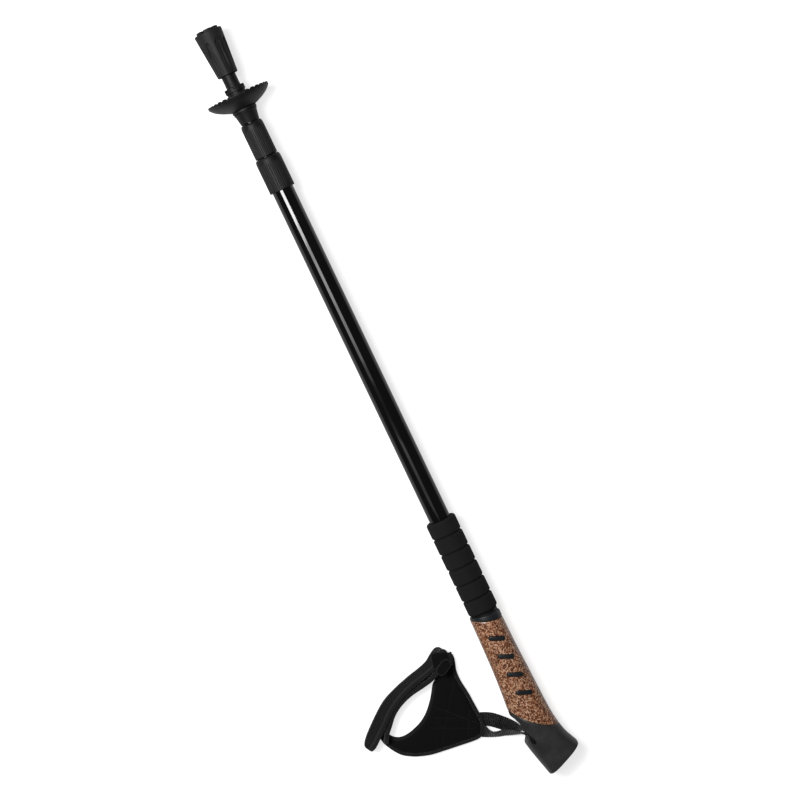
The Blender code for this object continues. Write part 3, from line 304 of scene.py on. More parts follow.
# Mesh helpers
def place_object(name, data):
    made = bpy.data.objects.new(name, data)
    bpy.context.scene.collection.objects.link(made)
    return made


def add(name, mesh, slot, body, *nodes, finish=None):
    """A piece that rides on a body and stands for CAD nodes."""
    piece = place_object(name, mesh)
    mesh.materials.append(finish or finishes[slot])
    if body:
        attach(piece, body)
    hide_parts(*nodes)
    return piece


def smooth(mesh, sharp=38):
    """Shades a mesh smooth, its edges sharp past an angle."""
    mesh.shade_smooth()
    mesh.set_sharp_from_angle(angle=radians(sharp))
    return mesh


def closed_mesh(name, work, sharp=38):
    """A smooth-shaded mesh from a bmesh."""
    made = bpy.data.meshes.new(name)
    bmesh.ops.remove_doubles(work, verts=work.verts, dist=0.000002)
    bmesh.ops.recalc_face_normals(work, faces=work.faces)
    work.to_mesh(made)
    work.free()
    return smooth(made, sharp)


def join_rings(work, rings, closed=False):
    """Adds a skin over a row of closed rings, joined end to start or with both ends filled."""
    rows = [[work.verts.new(point) for point in ring] for ring in rings]
    for row, after in zip(rows, rows[1:] + rows[:1] if closed else rows[1:]):
        for index in range(len(row)):
            work.faces.new((row[index - 1], row[index], after[index], after[index - 1]))
    if not closed:
        work.faces.new(rows[0])
        work.faces.new(rows[-1])


def skin(name, rings, closed=False, sharp=38):
    """A closed mesh over a row of rings."""
    work = bmesh.new()
    join_rings(work, rings, closed)
    return closed_mesh(name, work, sharp)


def circle(count):
    """The sides of the angles round a circle."""
    return [(cos(tau * step / count), sin(tau * step / count)) for step in range(count)]


def softened(profile, radius, steps=3):
    """A closed profile with its corners rounded, apart from those on the axis."""
    points = [Vector(point) for point in profile]
    soft = []
    for index, corner in enumerate(points):
        if corner.x < 0.000001:
            soft.append(corner)
            continue
        back = points[index - 1] - corner
        ahead = points[(index + 1) % len(points)] - corner
        start = corner + back.normalized() * min(radius, back.length * 0.45)
        end = corner + ahead.normalized() * min(radius, ahead.length * 0.45)
        for step in range(steps + 1):
            t = step / steps
            soft.append(start.lerp(corner, t).lerp(corner.lerp(end, t), t))
    return soft


def straight(start, end, rows):
    """Profile points at even steps from one to another."""
    return [tuple(a + (b - a) * row / rows for a, b in zip(start, end)) for row in range(rows + 1)]


def turned(name, profile, shape=None, steps=ROUND_STEPS, sharp=38):
    """A closed profile of (radius, station) turned round the pole. shape moves a point for its angle."""
    rings = []
    for step in range(steps):
        angle = tau * step / steps
        places = [shape(*point, angle) for point in profile] if shape else profile
        rings.append([at(station, radius * sin(angle), radius * cos(angle)) for radius, station in places])
    return skin(name, rings, True, sharp)


def smooth_line(points, steps, closed=False):
    """A smooth curve through points of any dimension, with some steps to each span."""
    points = [Vector(point) for point in points]
    count = len(points)
    spans = count if closed else count - 1
    line = []
    for span in range(spans):
        before = points[(span - 1) % count] if closed or span else points[span]
        start = points[span]
        end = points[(span + 1) % count]
        after = points[(span + 2) % count] if closed or span + 2 < count else end
        for step in range(steps):
            t = step / steps
            bend = (2 * before - 5 * start + 4 * end - after) * t**2
            turn = (3 * start - before - 3 * end + after) * t**3
            line.append(0.5 * (2 * start + (end - before) * t + bend + turn))
    if not closed:
        line.append(points[-1])
    return line


def evenly(line, pitch, closed=False):
    """Points at an even pitch along a line, as near as its length allows."""
    points = list(line) + ([line[0]] if closed else [])
    lengths = [0.0]
    for start, end in zip(points, points[1:]):
        lengths.append(lengths[-1] + (end - start).length)
    count = max(2, round(lengths[-1] / pitch))
    spread = []
    index = 0
    for step in range(count if closed else count + 1):
        wanted = lengths[-1] * step / count
        while index < len(points) - 2 and lengths[index + 1] < wanted:
            index += 1
        span = lengths[index + 1] - lengths[index]
        spread.append(points[index].lerp(points[index + 1], (wanted - lengths[index]) / span))
    return spread


# Tubes
def make_tube(name, body):
    """A drawn tube with rolled edges."""
    start, end, radius = reach(name)
    bore = least_radius(name)
    profile = softened(((radius, end), (radius, start), (bore, start), (bore, end)), EDGE_BREAK)
    add(name + "_skin", turned(name, profile), "gloss_black", body, name)


# Sleeves
SLEEVE_RIBS = 34
SLEEVE_RIB_DEPTH = 0.00022
SLEEVE_SHOULDER = 0.0042
SLEEVE_SHOULDER_DROP = 0.0014
SLEEVE_LEAD = 0.0005
SLEEVE_END_INSET = 0.0006
SLEEVE_END_DROP = 0.0005
RIB_FADE_IN = 0.002
RIB_FADE_OUT = 0.0012


def make_sleeve(name, body, tube_name):
    """A moulded sleeve with a rounded shoulder and fine grooves along its grip."""
    start, end, radius = reach(name)
    start -= SLEEVE_LEAD
    lip_bore = least_radius(name)
    seat_bore = reach(tube_name)[2] + GAP
    seat = reach(tube_name)[0] - GAP
    top = end - SLEEVE_END_DROP
    profile = [(radius - SLEEVE_END_INSET, end), (radius, top)]
    profile += straight((radius, top - EDGE_BREAK), (radius, start + SLEEVE_SHOULDER), 24)
    for step in range(1, 8):
        share = step / 7
        drop = SLEEVE_SHOULDER_DROP * (1 - sqrt(1 - share**2 * 0.98))
        profile.append((radius - drop, start + SLEEVE_SHOULDER * (1 - share)))
    profile.extend(((lip_bore, start), (lip_bore, seat), (seat_bore, seat), (seat_bore, end)))

    def grooved(point_radius, station, angle):
        """Narrow grooves that fade out at the shoulder and at the end."""
        if point_radius < radius - 0.00001:
            return point_radius, station
        fade = min(1.0, (station - start - SLEEVE_SHOULDER) / RIB_FADE_IN, (end - station) / RIB_FADE_OUT)
        wave = max(0.0, cos(angle * SLEEVE_RIBS)) ** 6
        return point_radius - SLEEVE_RIB_DEPTH * max(0.0, fade) * wave, station

    mesh = turned(name, profile, grooved, SLEEVE_RIBS * 10, 50)
    add(name + "_moulding", mesh, "black_plastic", body, name)


# Tip holder, basket and foot
BEAD_HEIGHT = 0.0004
BEAD_START = 0.0004
BEAD_LOW = 0.0007
BEAD_HIGH = 0.0013
BEAD_END = 0.0016
STEM_END_INSET = 0.0005
STEM_END_DROP = 0.0006
TIP_ROUNDING = 0.00025
SECTION_GAP = 0.0008
FLANGE_THICKNESS = 0.0018
CONE_NARROW_RADIUS = 0.0079
CONE_WIDE_RADIUS = 0.00965


def make_tip_holder():
    """The stem under the basket, the flange that the basket screws up to, and the cone on the lower tube."""
    start, _, flange = reach("tip_holder")
    basket_end = reach("basket")[1]
    cone_end = reach("lower_sleeve")[0] - SECTION_GAP
    flange_start = basket_end + GAP
    cone_start = flange_start + FLANGE_THICKNESS
    stem = least_radius("basket") - GAP
    tube_bore = reach("lower_tube")[2] + GAP
    tube_floor = reach("lower_tube")[0] - GAP
    point_bore = reach("steel_point")[2] + GAP
    point_end = reach("steel_point")[1] + GAP
    narrow, wide = CONE_NARROW_RADIUS, CONE_WIDE_RADIUS
    slope = (narrow - wide) / (cone_end - cone_start)
    outside = [
        (narrow - EDGE_BREAK, cone_end),
        (narrow, cone_end - EDGE_BREAK),
        (wide + slope * BEAD_END, cone_start + BEAD_END),
        (wide + BEAD_HEIGHT, cone_start + BEAD_HIGH),
        (wide + BEAD_HEIGHT, cone_start + BEAD_LOW),
        (wide, cone_start + BEAD_START),
        (wide, cone_start),
        (flange, cone_start),
        (flange, flange_start),
        (stem, flange_start),
        (stem, start + STEM_END_DROP),
        (stem - STEM_END_INSET, start),
        (point_bore, start),
        (point_bore, point_end),
        (0.0, point_end),
        (0.0, tube_floor),
        (tube_bore, tube_floor),
        (tube_bore, cone_end),
    ]
    mesh = turned("tip_holder", softened(outside, TIP_ROUNDING, 2))
    add("tip_holder_moulding", mesh, "black_plastic", "lower_section", "tip_holder")


RIM_WAVES = 32
RIM_WAVE_HEIGHT = 0.0014
BASKET_WALL = 0.0014
BASKET_HEIGHT = 0.0115
BASKET_ROWS = 28
RIM_DROP = 0.0004
HUB_WALL = 0.0014
HUB_RING_LENGTH = 0.0042
HUB_NOTCHES = 6
HUB_NOTCH_HALF = 0.0014
HUB_NOTCH_DEPTH = 0.0024
HUB_RING_RADIUS = 0.0085
BASKET_BASE_RADIUS = 0.0105
SCALLOP_LENGTH = 0.003
SCALLOP_BAND = 0.004


def make_basket():
    """The dished basket with its scalloped rim, and the castellated ring at its hub's end."""
    start, end, rim = reach("basket")
    bore = least_radius("basket")
    hub = bore + HUB_WALL
    edge = end - BASKET_HEIGHT
    outer = []
    inner = []
    for row in range(BASKET_ROWS + 1):
        share = row / BASKET_ROWS
        radius = BASKET_BASE_RADIUS + (rim - BASKET_BASE_RADIUS) * (1 - share**2)
        lean = atan2(2 * (rim - BASKET_BASE_RADIUS) * share, BASKET_HEIGHT)
        station = edge + BASKET_HEIGHT * share
        outer.append((radius, station))
        if row < BASKET_ROWS - 2:
            inner.append((radius - BASKET_WALL * cos(lean), station - BASKET_WALL * sin(lean)))
    floor = end - BASKET_WALL
    profile = [
        (bore, end),
        *reversed(outer),
        (rim - EDGE_BREAK, edge - RIM_DROP),
        (rim - BASKET_WALL + EDGE_BREAK, edge - RIM_DROP),
        *inner[1:],
        (BASKET_BASE_RADIUS, floor),
        (hub, floor),
    ]
    ring_top = start + HUB_RING_LENGTH
    ring_edge = HUB_RING_RADIUS - EDGE_BREAK
    profile += [(hub, ring_top), (ring_edge, ring_top)]
    high, low = ring_top - EDGE_BREAK, start + EDGE_BREAK
    profile += straight((HUB_RING_RADIUS, high), (HUB_RING_RADIUS, low), 10)
    profile += [(ring_edge, start), (bore, start)]

    def shaped(radius, station, angle):
        """Scallops along the rim, and notches in the hub's ring."""
        if station < edge + SCALLOP_LENGTH and radius > rim - SCALLOP_BAND:
            lobe = abs(sin(angle * RIM_WAVES / 2)) ** 0.7
            share = max(0.0, 1 - (station - edge) / SCALLOP_LENGTH)
            return radius, station + RIM_WAVE_HEIGHT * (1 - lobe) * min(1.0, share)
        if station < start + HUB_NOTCH_DEPTH and radius < HUB_RING_RADIUS + GAP:
            turn = tau / HUB_NOTCHES
            off = abs((angle + turn / 2) % turn - turn / 2) * HUB_RING_RADIUS
            if off < HUB_NOTCH_HALF:
                return radius, start + HUB_NOTCH_DEPTH + (station - start) * 0.02
        return radius, station

    mesh = turned("basket", profile, shaped, 384, 45)
    add("basket_moulding", mesh, "black_plastic", "basket", "basket")


FOOT_FLOOR = 0.0040
FLUTES = 8
FLUTE_TURN = radians(17.5)
FLUTE_HALF = 0.0021
FLUTE_DEPTH = 0.0012
FLUTE_START = 0.0090
FLUTE_FADE = 0.0300
SOLE_RADIUS = 0.0092
SOLE_CENTRE_RADIUS = 0.0046
SOLE_LUGS = 6
SOLE_GROOVE_HALF = 0.0014
NECK_RADIUS = 0.0086
RIM_RADIUS = 0.0118
RIM_BREAK = 0.0007
FLUTE_EDGE = 0.0005
MOUTH_BREAK = 0.0004
NECK_BREAK = 0.0006


def make_foot():
    """The rubber foot: fluted, tapered, with a lugged sole and a bore for the stem."""
    high = reach("rubber_foot")[1]
    bore = least_radius("basket")
    slope = (RIM_RADIUS - NECK_RADIUS) / high
    top, bottom = high - FLUTE_EDGE, RIM_BREAK
    profile = [(bore, high - MOUTH_BREAK), (bore + MOUTH_BREAK, high), (NECK_RADIUS - NECK_BREAK, high)]
    profile += straight((RIM_RADIUS - slope * top, top), (RIM_RADIUS - slope * bottom, bottom), 48)
    profile += [(RIM_RADIUS - EDGE_BREAK, EDGE_BREAK / 3), (RIM_RADIUS - NECK_BREAK, 0.0)]
    profile.append((SOLE_RADIUS + EDGE_BREAK, 0.0))
    profile += straight((SOLE_RADIUS, -SOLE_LUG_HEIGHT * 0.1), (SOLE_RADIUS, -SOLE_LUG_HEIGHT * 0.9), 4)
    profile += straight((SOLE_RADIUS - 0.0004, -SOLE_LUG_HEIGHT), (0.0, -SOLE_LUG_HEIGHT), 12)
    profile += [(0.0, FOOT_FLOOR), (bore, FOOT_FLOOR)]

    def shaped(radius, station, angle):
        """Flutes down the side, and grooves between the sole's lugs."""
        if station > FLUTE_EDGE and radius > bore + 3 * FLUTE_EDGE:
            turn = tau / FLUTES
            off = abs((angle - FLUTE_TURN + turn / 2) % turn - turn / 2) * radius
            share = (station - FLUTE_START) / FLUTE_FADE
            if 0.0 <= share < 1.0:
                half = FLUTE_HALF * sqrt(min(1.0, (station - FLUTE_START + 0.0001) / FLUTE_HALF))
                side = min(1.0, max(0.0, (half - off) / FLUTE_EDGE))
                return radius - FLUTE_DEPTH * (1 - share) * side, station
        if station < -0.0001 and radius > SOLE_CENTRE_RADIUS:
            turn = tau / SOLE_LUGS
            off = abs(angle % turn - turn / 2) * radius
            if off < SOLE_GROOVE_HALF:
                return radius, station * 0.1
        return radius, station

    mesh = turned("rubber_foot", profile, shaped, 320, 45)
    add("rubber_foot_moulding", mesh, "black_rubber", "rubber_foot", "rubber_foot")


# Foam grip
FOAM_GROOVES = 5
FOAM_FIRST_LAND = 0.0132
FOAM_LAND_PITCH = 0.01435
FOAM_GROOVE_HALF = 0.0020
FOAM_GROOVE_DEPTH = 0.0042
FOAM_SWELL = 0.0005
FOAM_LEAD = 0.0009
FOAM_END_ROUNDING = 0.0024
FOAM_END_DROP = 0.0022
FOAM_DISH = 0.0013
FOAM_DISH_WIDTH = 0.0052


def make_foam_grip():
    """Six lands of foam with narrow rounded grooves between them and rounded ends."""
    start, end, radius = reach("foam_grip")
    start -= FOAM_LEAD
    radius += FOAM_SWELL
    bore = least_radius("foam_grip")
    first = start + FOAM_LEAD + FOAM_FIRST_LAND
    grooves = [first + FOAM_LAND_PITCH * index for index in range(FOAM_GROOVES)]
    rows = 220
    profile = [(bore, end)]
    for row in range(rows + 1):
        station = end - (end - start) * row / rows
        from_groove = min(abs(station - groove) for groove in grooves)
        from_end = min(end - station, station - start)
        here = radius
        if from_end < FOAM_END_ROUNDING:
            share = 1 - from_end / FOAM_END_ROUNDING
            here -= FOAM_END_DROP * (1 - sqrt(max(0.0, 1 - share**2)))
        elif from_groove < FOAM_GROOVE_HALF:
            share = 1 - from_groove / FOAM_GROOVE_HALF
            here -= FOAM_GROOVE_DEPTH * (1 - sqrt(1 - share**2 * 0.80))
        profile.append((here, station))
    profile.append((radius - FOAM_DISH_WIDTH * 0.75, start + FOAM_DISH * 0.25))
    profile.append((radius - FOAM_DISH_WIDTH, start + FOAM_DISH))
    profile.append((bore, start + FOAM_DISH))
    mesh = turned("foam_grip", profile, sharp=60)
    add("foam_grip_sleeve", mesh, "foam", "upper_section", "foam_grip")


# Collar, cork and cap: (along, across) of each side and the half thickness, at stations down the grip
COLLAR_TOP = ((0.0004, -0.0130), (0.0036, 0.0124), 0.0126)
COLLAR_BOTTOM = ((0.0016, -0.0137), (0.0098, 0.0123), 0.0128)
GRIP_STATIONS = (
    ((0.0020, -0.0137), (0.0102, 0.0123), 0.0128),
    ((0.0262, -0.0142), (0.0350, 0.0125), 0.0130),
    ((0.0516, -0.0151), (0.0598, 0.0134), 0.0132),
    ((0.0704, -0.0164), (0.0806, 0.0140), 0.0134),
    ((0.0862, -0.0177), (0.0988, 0.0148), 0.0136),
    ((0.1000, -0.0178), (0.1108, 0.0163), 0.0138),
    ((0.1174, -0.0162), (0.1210, 0.0186), 0.0140),
    ((0.1306, -0.0134), (0.1290, 0.0219), 0.0140),
    ((0.1416, -0.0106), (0.1330, 0.0237), 0.0140),
    ((0.1492, -0.0087), (0.1352, 0.0239), 0.0140),
)
COLLAR_SQUARENESS = 2.0
COLLAR_BOW = 0.0013
COLLAR_NECK_RADIUS = 0.0112
CAP_SQUARENESS = 3.0
CORK_EDGE_CENTRE = (0.0362, 0.0510)
CORK_EDGE_RADIUS = 0.0840
GRIP_POINTS = 120
CAP_ROUNDING = 0.0022


def section_point(low, high, half, squareness, angle):
    """A point at an angle round a section between two sides, in grip coordinates."""
    middle = (low + high) / 2
    sweep = (high - low) / 2
    across = copysign(abs(cos(angle)) ** (2 / squareness), cos(angle))
    up = copysign(abs(sin(angle)) ** (2 / squareness), sin(angle))
    return Vector((*(middle + sweep * across), half * up))


def at_share(line, share):
    """The value at a share of a list of evenly numbered values."""
    place = min(max(share, 0.0), 1.0) * (len(line) - 1)
    index = min(int(place), len(line) - 2)
    return line[index].lerp(line[index + 1], place - index)


grip_low = smooth_line([station[0] for station in GRIP_STATIONS], 24)
grip_high = smooth_line([station[1] for station in GRIP_STATIONS], 24)
grip_half = smooth_line([(station[2], 0.0) for station in GRIP_STATIONS], 24)


def squareness_at(share):
    """How square the grip's section is, from round at the collar to nearly square at the cap."""
    return COLLAR_SQUARENESS + (CAP_SQUARENESS - COLLAR_SQUARENESS) * min(share, 1.0) ** 3


def grip_surface(share, angle, inward=0.0):
    """A point on the grip at a share of the way from the collar to the cap's end."""
    low = at_share(grip_low, share)
    high = at_share(grip_high, share)
    across = (high - low).normalized() * inward
    half = at_share(grip_half, share).x - inward
    return section_point(low + across, high - across, half, squareness_at(share), angle)


def bowed(point, half, share):
    """A collar point moved towards the handle, most where it is highest."""
    return Vector((point.x + COLLAR_BOW * abs(point.z) / half * share, point.y, point.z))


def last_share(low, steps, holds):
    """The last share of the way down the grip where something holds, found by halving."""
    high = 1.0
    for _ in range(steps):
        middle = (low + high) / 2
        if holds(middle):
            low = middle
        else:
            high = middle
    return low


def cork_edge(angle, gap):
    """The share of the way down the grip where the cork ends at this angle."""
    centre = Vector(CORK_EDGE_CENTRE)

    def on_cork(share):
        return (grip_surface(share, angle).to_2d() - centre).length < CORK_EDGE_RADIUS + gap

    return last_share(0.3, 30, on_cork)


def grip_angles():
    return [tau * index / GRIP_POINTS for index in range(GRIP_POINTS)]


def make_collar():
    """The slanted rubber ring between foam and cork, and the short dark neck in front of it."""
    neck_rings = []
    neck = [Vector((0.0, cos(a), sin(a))) * COLLAR_NECK_RADIUS for a in grip_angles()]
    neck_rings.append([on_grip(0.0001, point.y, point.z) for point in neck])
    top_low, top_high = Vector(COLLAR_TOP[0]), Vector(COLLAR_TOP[1])
    slope = (top_high.x - top_low.x) / (top_high.y - top_low.y)
    for share in (0.35, 0.7, 1.0):
        ring = []
        for point in neck:
            end = top_low.x + slope * (point.y - top_low.y) + 0.0004
            ring.append(on_grip(0.0001 + (end - 0.0001) * share, point.y, point.z))
        neck_rings.append(ring)
    add("collar_neck", skin("collar_neck", neck_rings), "black_plastic", "upper_section", "grip_collar")
    rings = []
    rows = 10
    for row in range(rows + 1):
        share = row / rows
        low = Vector(COLLAR_TOP[0]).lerp(Vector(COLLAR_BOTTOM[0]), share)
        high = Vector(COLLAR_TOP[1]).lerp(Vector(COLLAR_BOTTOM[1]), share)
        half = COLLAR_TOP[2] + (COLLAR_BOTTOM[2] - COLLAR_TOP[2]) * share
        edge = min(share, 1 - share) * (high - low).length * 0.25
        tuck = 0.0007 * (1 - sqrt(min(1.0, edge / 0.0012)))
        across = (high - low).normalized() * tuck
        points = [section_point(low + across, high - across, half - tuck, 2.0, a) for a in grip_angles()]
        rings.append([on_grip(*bowed(point, half, share)) for point in points])
    add("collar_ring", skin("grip_collar", rings), "slate_rubber", "upper_section", "grip_collar")


def make_cork():
    """The cork grip, its edge at the cap curved, with pockets for the inlays."""
    angles = grip_angles()
    ends = [cork_edge(angle, -GAP / 2) for angle in angles]
    rings = []
    rows = 60
    for row in range(rows + 1):
        share = row / rows
        inward = 0.0004 if row in (0, rows) else 0.0
        points = [grip_surface(share * end, angle, inward) for angle, end in zip(angles, ends)]
        fade = max(0.0, 1 - share * 6)
        rings.append([on_grip(*bowed(point, COLLAR_BOTTOM[2], fade)) for point in points])
    return add("cork_grip_body", skin("cork_grip", rings), "cork", "upper_section", "cork_grip")


INLAY_LENGTH = 0.0140
INLAY_WIDTH = 0.0037
INLAY_FIRST = (0.0231, -0.0003)
INLAY_PITCH = (0.0170, 0.0004)
INLAY_COUNT = 4
INLAY_SLANT = radians(25.5)
INLAY_DEPTH = 0.0012
INLAY_SECTION = (
    (0.0, -INLAY_DEPTH + 0.0001), (0.0, -0.0003), (-0.0004, 0.0), (-0.0012, 0.0002), (-0.0030, 0.0003),
)
POCKET_RISE = 0.003


def pill(length, width, steps=10):
    """An outline with round ends, along X."""
    radius = width / 2
    flat = length / 2 - radius
    points = []
    for side in (1, -1):
        for step in range(steps + 1):
            angle = pi * step / steps - pi / 2
            points.append(Vector((side * (flat + radius * cos(angle)), side * radius * sin(angle))))
    return points


def grip_height(along, across):
    """How far the grip's cheek stands off the pole's middle plane at a place."""
    place = Vector((along, across))

    def before(share):
        start = at_share(grip_low, share)
        return (at_share(grip_high, share) - start).to_3d().cross((place - start).to_3d()).z < 0

    down = last_share(0.0, 24, before)
    start = at_share(grip_low, down)
    end = at_share(grip_high, down)
    share = (place - (start + end) / 2).length / ((end - start).length / 2)
    squareness = squareness_at(down)
    return at_share(grip_half, down).x * (1 - min(share, 0.99) ** squareness) ** (1 / squareness)


def inlay_outline(index, grow):
    """A pad's outline on the grip's grid."""
    centre = Vector(INLAY_FIRST) + Vector(INLAY_PITCH) * index
    turn = Matrix.Rotation(pi / 2 - INLAY_SLANT, 2)
    return [centre + turn @ point for point in pill(INLAY_LENGTH + grow, INLAY_WIDTH + grow)]


def on_cheek(outline, sign, lift):
    """An outline laid on one of the grip's cheeks, at a height over it."""
    return [on_grip(*point, sign * (grip_height(*point) + lift)) for point in outline]


def make_inlays(cork):
    """Four rubber pads in each cheek, let into the cork with a fine gap round them."""
    work = bmesh.new()
    for sign in (1, -1):
        for index in range(INLAY_COUNT):
            outline = inlay_outline(index, 2 * GAP)
            join_rings(work, [on_cheek(outline, sign, lift) for lift in (-INLAY_DEPTH, POCKET_RISE)])
    cut(cork, place_object("pocket_cutter", closed_mesh("pocket_cutter", work)))
    for side, sign in (("front", 1), ("back", -1)):
        for index in range(INLAY_COUNT):
            rings = [on_cheek(inlay_outline(index, grow), sign, lift) for grow, lift in INLAY_SECTION]
            name = f"{side}_inlay_{index + 1}"
            add(name + "_pad", skin(name, rings), "slate_rubber", "upper_section", name)


def apply_modifiers(piece):
    """Bakes a piece's modifiers into its mesh."""
    bpy.context.view_layer.update()
    graph = bpy.context.evaluated_depsgraph_get()
    mesh = bpy.data.meshes.new_from_object(piece.evaluated_get(graph))
    piece.modifiers.clear()
    old = piece.data
    piece.data = mesh
    bpy.data.meshes.remove(old)


def reshape(piece, kind, **settings):
    """Adds a modifier to a piece and bakes it into the mesh."""
    step = piece.modifiers.new(kind.lower(), kind)
    for key, value in settings.items():
        setattr(step, key, value)
    apply_modifiers(piece)


def cut(piece, cutter):
    """Takes a cutter's shape out of a piece and removes the cutter."""
    reshape(piece, "BOOLEAN", operation="DIFFERENCE", solver="EXACT", object=cutter)
    bpy.data.objects.remove(cutter, do_unlink=True)
    smooth(piece.data)


PIN_CENTRE = (0.1240, -0.0070)
THROAT_SIDE = (
    (0.0884, -0.0230), (0.0882, -0.0185), (0.0925, -0.0156), (0.0972, -0.0138), (0.1016, -0.0134),
    (0.1055, -0.0120), (0.1085, -0.0103),
)
SLOT_MOUTH = (0.1120, -0.0101)
SLOT_END = (0.1174, -0.0094)
SLOT_ALONG = (Vector(SLOT_END) - Vector(SLOT_MOUTH)).normalized()
SLOT_ACROSS = Vector((-SLOT_ALONG.y, SLOT_ALONG.x))
LIP_SIDE = (
    (0.1148, -0.0146), (0.1162, -0.0165), (0.1165, -0.0230),
)
WEBBING_WIDTH = 0.0120
WEBBING_THICKNESS = 0.0012
SLOT_GAP = 0.0003
SLOT_HALF_WIDTH = WEBBING_THICKNESS + SLOT_GAP * 1.5
CHAMBER_RADIUS = 0.0048
CHAMBER_MARGIN = 0.0009
BIGHT_TURN = radians(115)
CAP_STOP = 0.965


def prism(name, outline, half):
    """A cutter over an outline on the grip's grid, as high on either side of the pole's middle."""
    rings = [[on_grip(*point, side) for point in outline] for side in (-half, half)]
    return place_object(name, skin(name, rings))


def slot_edge(place, side):
    """A place on one side of the strap's slot."""
    return Vector(place) + SLOT_ACROSS * side * SLOT_HALF_WIDTH


def make_cap():
    """The slanted cap with its rounded rim, the strap's throat, slot and hook lip, and the pin's pocket."""
    angles = grip_angles()
    starts = [cork_edge(angle, GAP / 2) for angle in angles]
    rings = []
    rows = 40
    rounding = 6
    for row in range(rows + 1):
        share = row / rows
        inward = 0.0003 if row == 0 else 0.0
        shares = [start + (CAP_STOP - start) * share for start in starts]
        rings.append([on_grip(*grip_surface(here, angle, inward)) for here, angle in zip(shares, angles)])
    for step in range(1, rounding + 1):
        turn = pi / 2 * step / rounding
        share = CAP_STOP + (1 - CAP_STOP) * sin(turn)
        inward = CAP_ROUNDING * (1 - cos(turn))
        rings.append([on_grip(*grip_surface(share, angle, inward)) for angle in angles])
    mesh = skin("top_cap", rings)
    cap = add("top_cap_moulding", mesh, "black_plastic", "upper_section", "top_cap", finish=cap_plastic)
    nose = Vector(SLOT_END) + SLOT_ALONG * SLOT_HALF_WIDTH * 0.7
    one_side = (slot_edge(SLOT_MOUTH, 1), slot_edge(SLOT_END, 1))
    other_side = (slot_edge(SLOT_END, -1), slot_edge(SLOT_MOUTH, -1))
    cut(cap, prism("throat_cutter", (*THROAT_SIDE, *one_side, nose, *other_side, *LIP_SIDE), 0.03))
    arc = []
    for step in range(17):
        angle = BIGHT_TURN * (step / 8 - 1)
        arc.append(Vector(PIN_CENTRE) + CHAMBER_RADIUS * Vector((cos(angle), sin(angle))))
    back = Vector(SLOT_END) - SLOT_ALONG * SLOT_HALF_WIDTH * 0.5
    outline = (slot_edge(back, -1), *arc, slot_edge(back, 1))
    cut(cap, prism("pocket_cutter", outline, WEBBING_WIDTH / 2 + CHAMBER_MARGIN))
    reshape(cap, "BEVEL", width=0.0004, segments=3, limit_method="ANGLE", angle_limit=radians(50))
    smooth(cap.data, 42)


PIN_RADIUS = 0.0015
PIN_TOP = 0.0088


def make_pin():
    """The steel pin for the strap's bight, its end flush with the cap's lower cheek."""
    low = -grip_height(*PIN_CENTRE)
    rings = []
    ends = ((0.4, 0.0), (0.8, 0.00005), (0.95, 0.0002), (1.0, 0.0005))
    stations = [(share, low + lift) for share, lift in ends]
    stations.extend((share, PIN_TOP - lift) for share, lift in reversed(ends))
    for share, height in stations:
        radius = PIN_RADIUS * share
        ring = []
        for along, across in circle(40):
            ring.append(on_grip(PIN_CENTRE[0] + radius * along, PIN_CENTRE[1] + radius * across, height))
        rings.append(ring)
    add("strap_pin_turned", skin("strap_pin", rings), "steel", "upper_section", "strap_pin")


# Hand strap
PATCH_LIFT = 0.0018
PATCH_THICKNESS = 0.0030
BINDING_WIDTH = 0.0030
BINDING_HEIGHT = 0.0036
STRAP_THICKNESS = 0.0030
PATCH_OUTLINE = (
    (0.0212, -0.0430), (0.0225, -0.0396), (0.0262, -0.0387), (0.0310, -0.0396), (0.0375, -0.0416),
    (0.0435, -0.0422), (0.0500, -0.0419), (0.0595, -0.0407), (0.0690, -0.0402), (0.0785, -0.0397),
    (0.0872, -0.0396), (0.0938, -0.0422), (0.0975, -0.0455), (0.0987, -0.0500), (0.0983, -0.0566),
    (0.0967, -0.0683), (0.0951, -0.0800), (0.0932, -0.0916), (0.0895, -0.1023), (0.0863, -0.1083),
    (0.0828, -0.1133), (0.0777, -0.1175), (0.0716, -0.1210), (0.0662, -0.1232), (0.0610, -0.1237),
    (0.0578, -0.1217), (0.0583, -0.1180), (0.0622, -0.1154), (0.0658, -0.1124), (0.0679, -0.1083),
    (0.0684, -0.1030), (0.0671, -0.0959), (0.0636, -0.0868), (0.0581, -0.0792), (0.0505, -0.0723),
    (0.0449, -0.0683), (0.0390, -0.0640), (0.0344, -0.0572), (0.0292, -0.0508), (0.0236, -0.0465),
)
WRIST_LOWER_EDGE = (
    (0.0655, -0.1203, 0.0062), (0.0625, -0.1184, 0.0062), (0.0584, -0.1162, 0.0036),
    (0.0530, -0.1112, 0.0016), (0.0472, -0.1058, 0.0014), (0.0424, -0.0989, 0.0014),
    (0.0388, -0.0908, 0.0014), (0.0366, -0.0824, 0.0014), (0.0353, -0.0730, 0.0014),
    (0.0338, -0.0630, 0.0012), (0.0290, -0.0550, 0.0010), (0.0232, -0.0503, 0.0010),
    (0.0188, -0.0480, 0.0010), (0.0158, -0.0478, 0.0010), (0.0148, -0.0502, 0.0010),
    (0.0172, -0.0550, 0.0008), (0.0213, -0.0615, 0.0008), (0.0240, -0.0700, 0.0008),
    (0.0262, -0.0800, 0.0008), (0.0302, -0.0940, 0.0008), (0.0352, -0.1068, 0.0008),
    (0.0438, -0.1190, 0.0008), (0.0535, -0.1304, 0.0008), (0.0588, -0.1354, 0.0008),
    (0.0614, -0.1371, 0.0022), (0.0630, -0.1378, 0.0050),
)
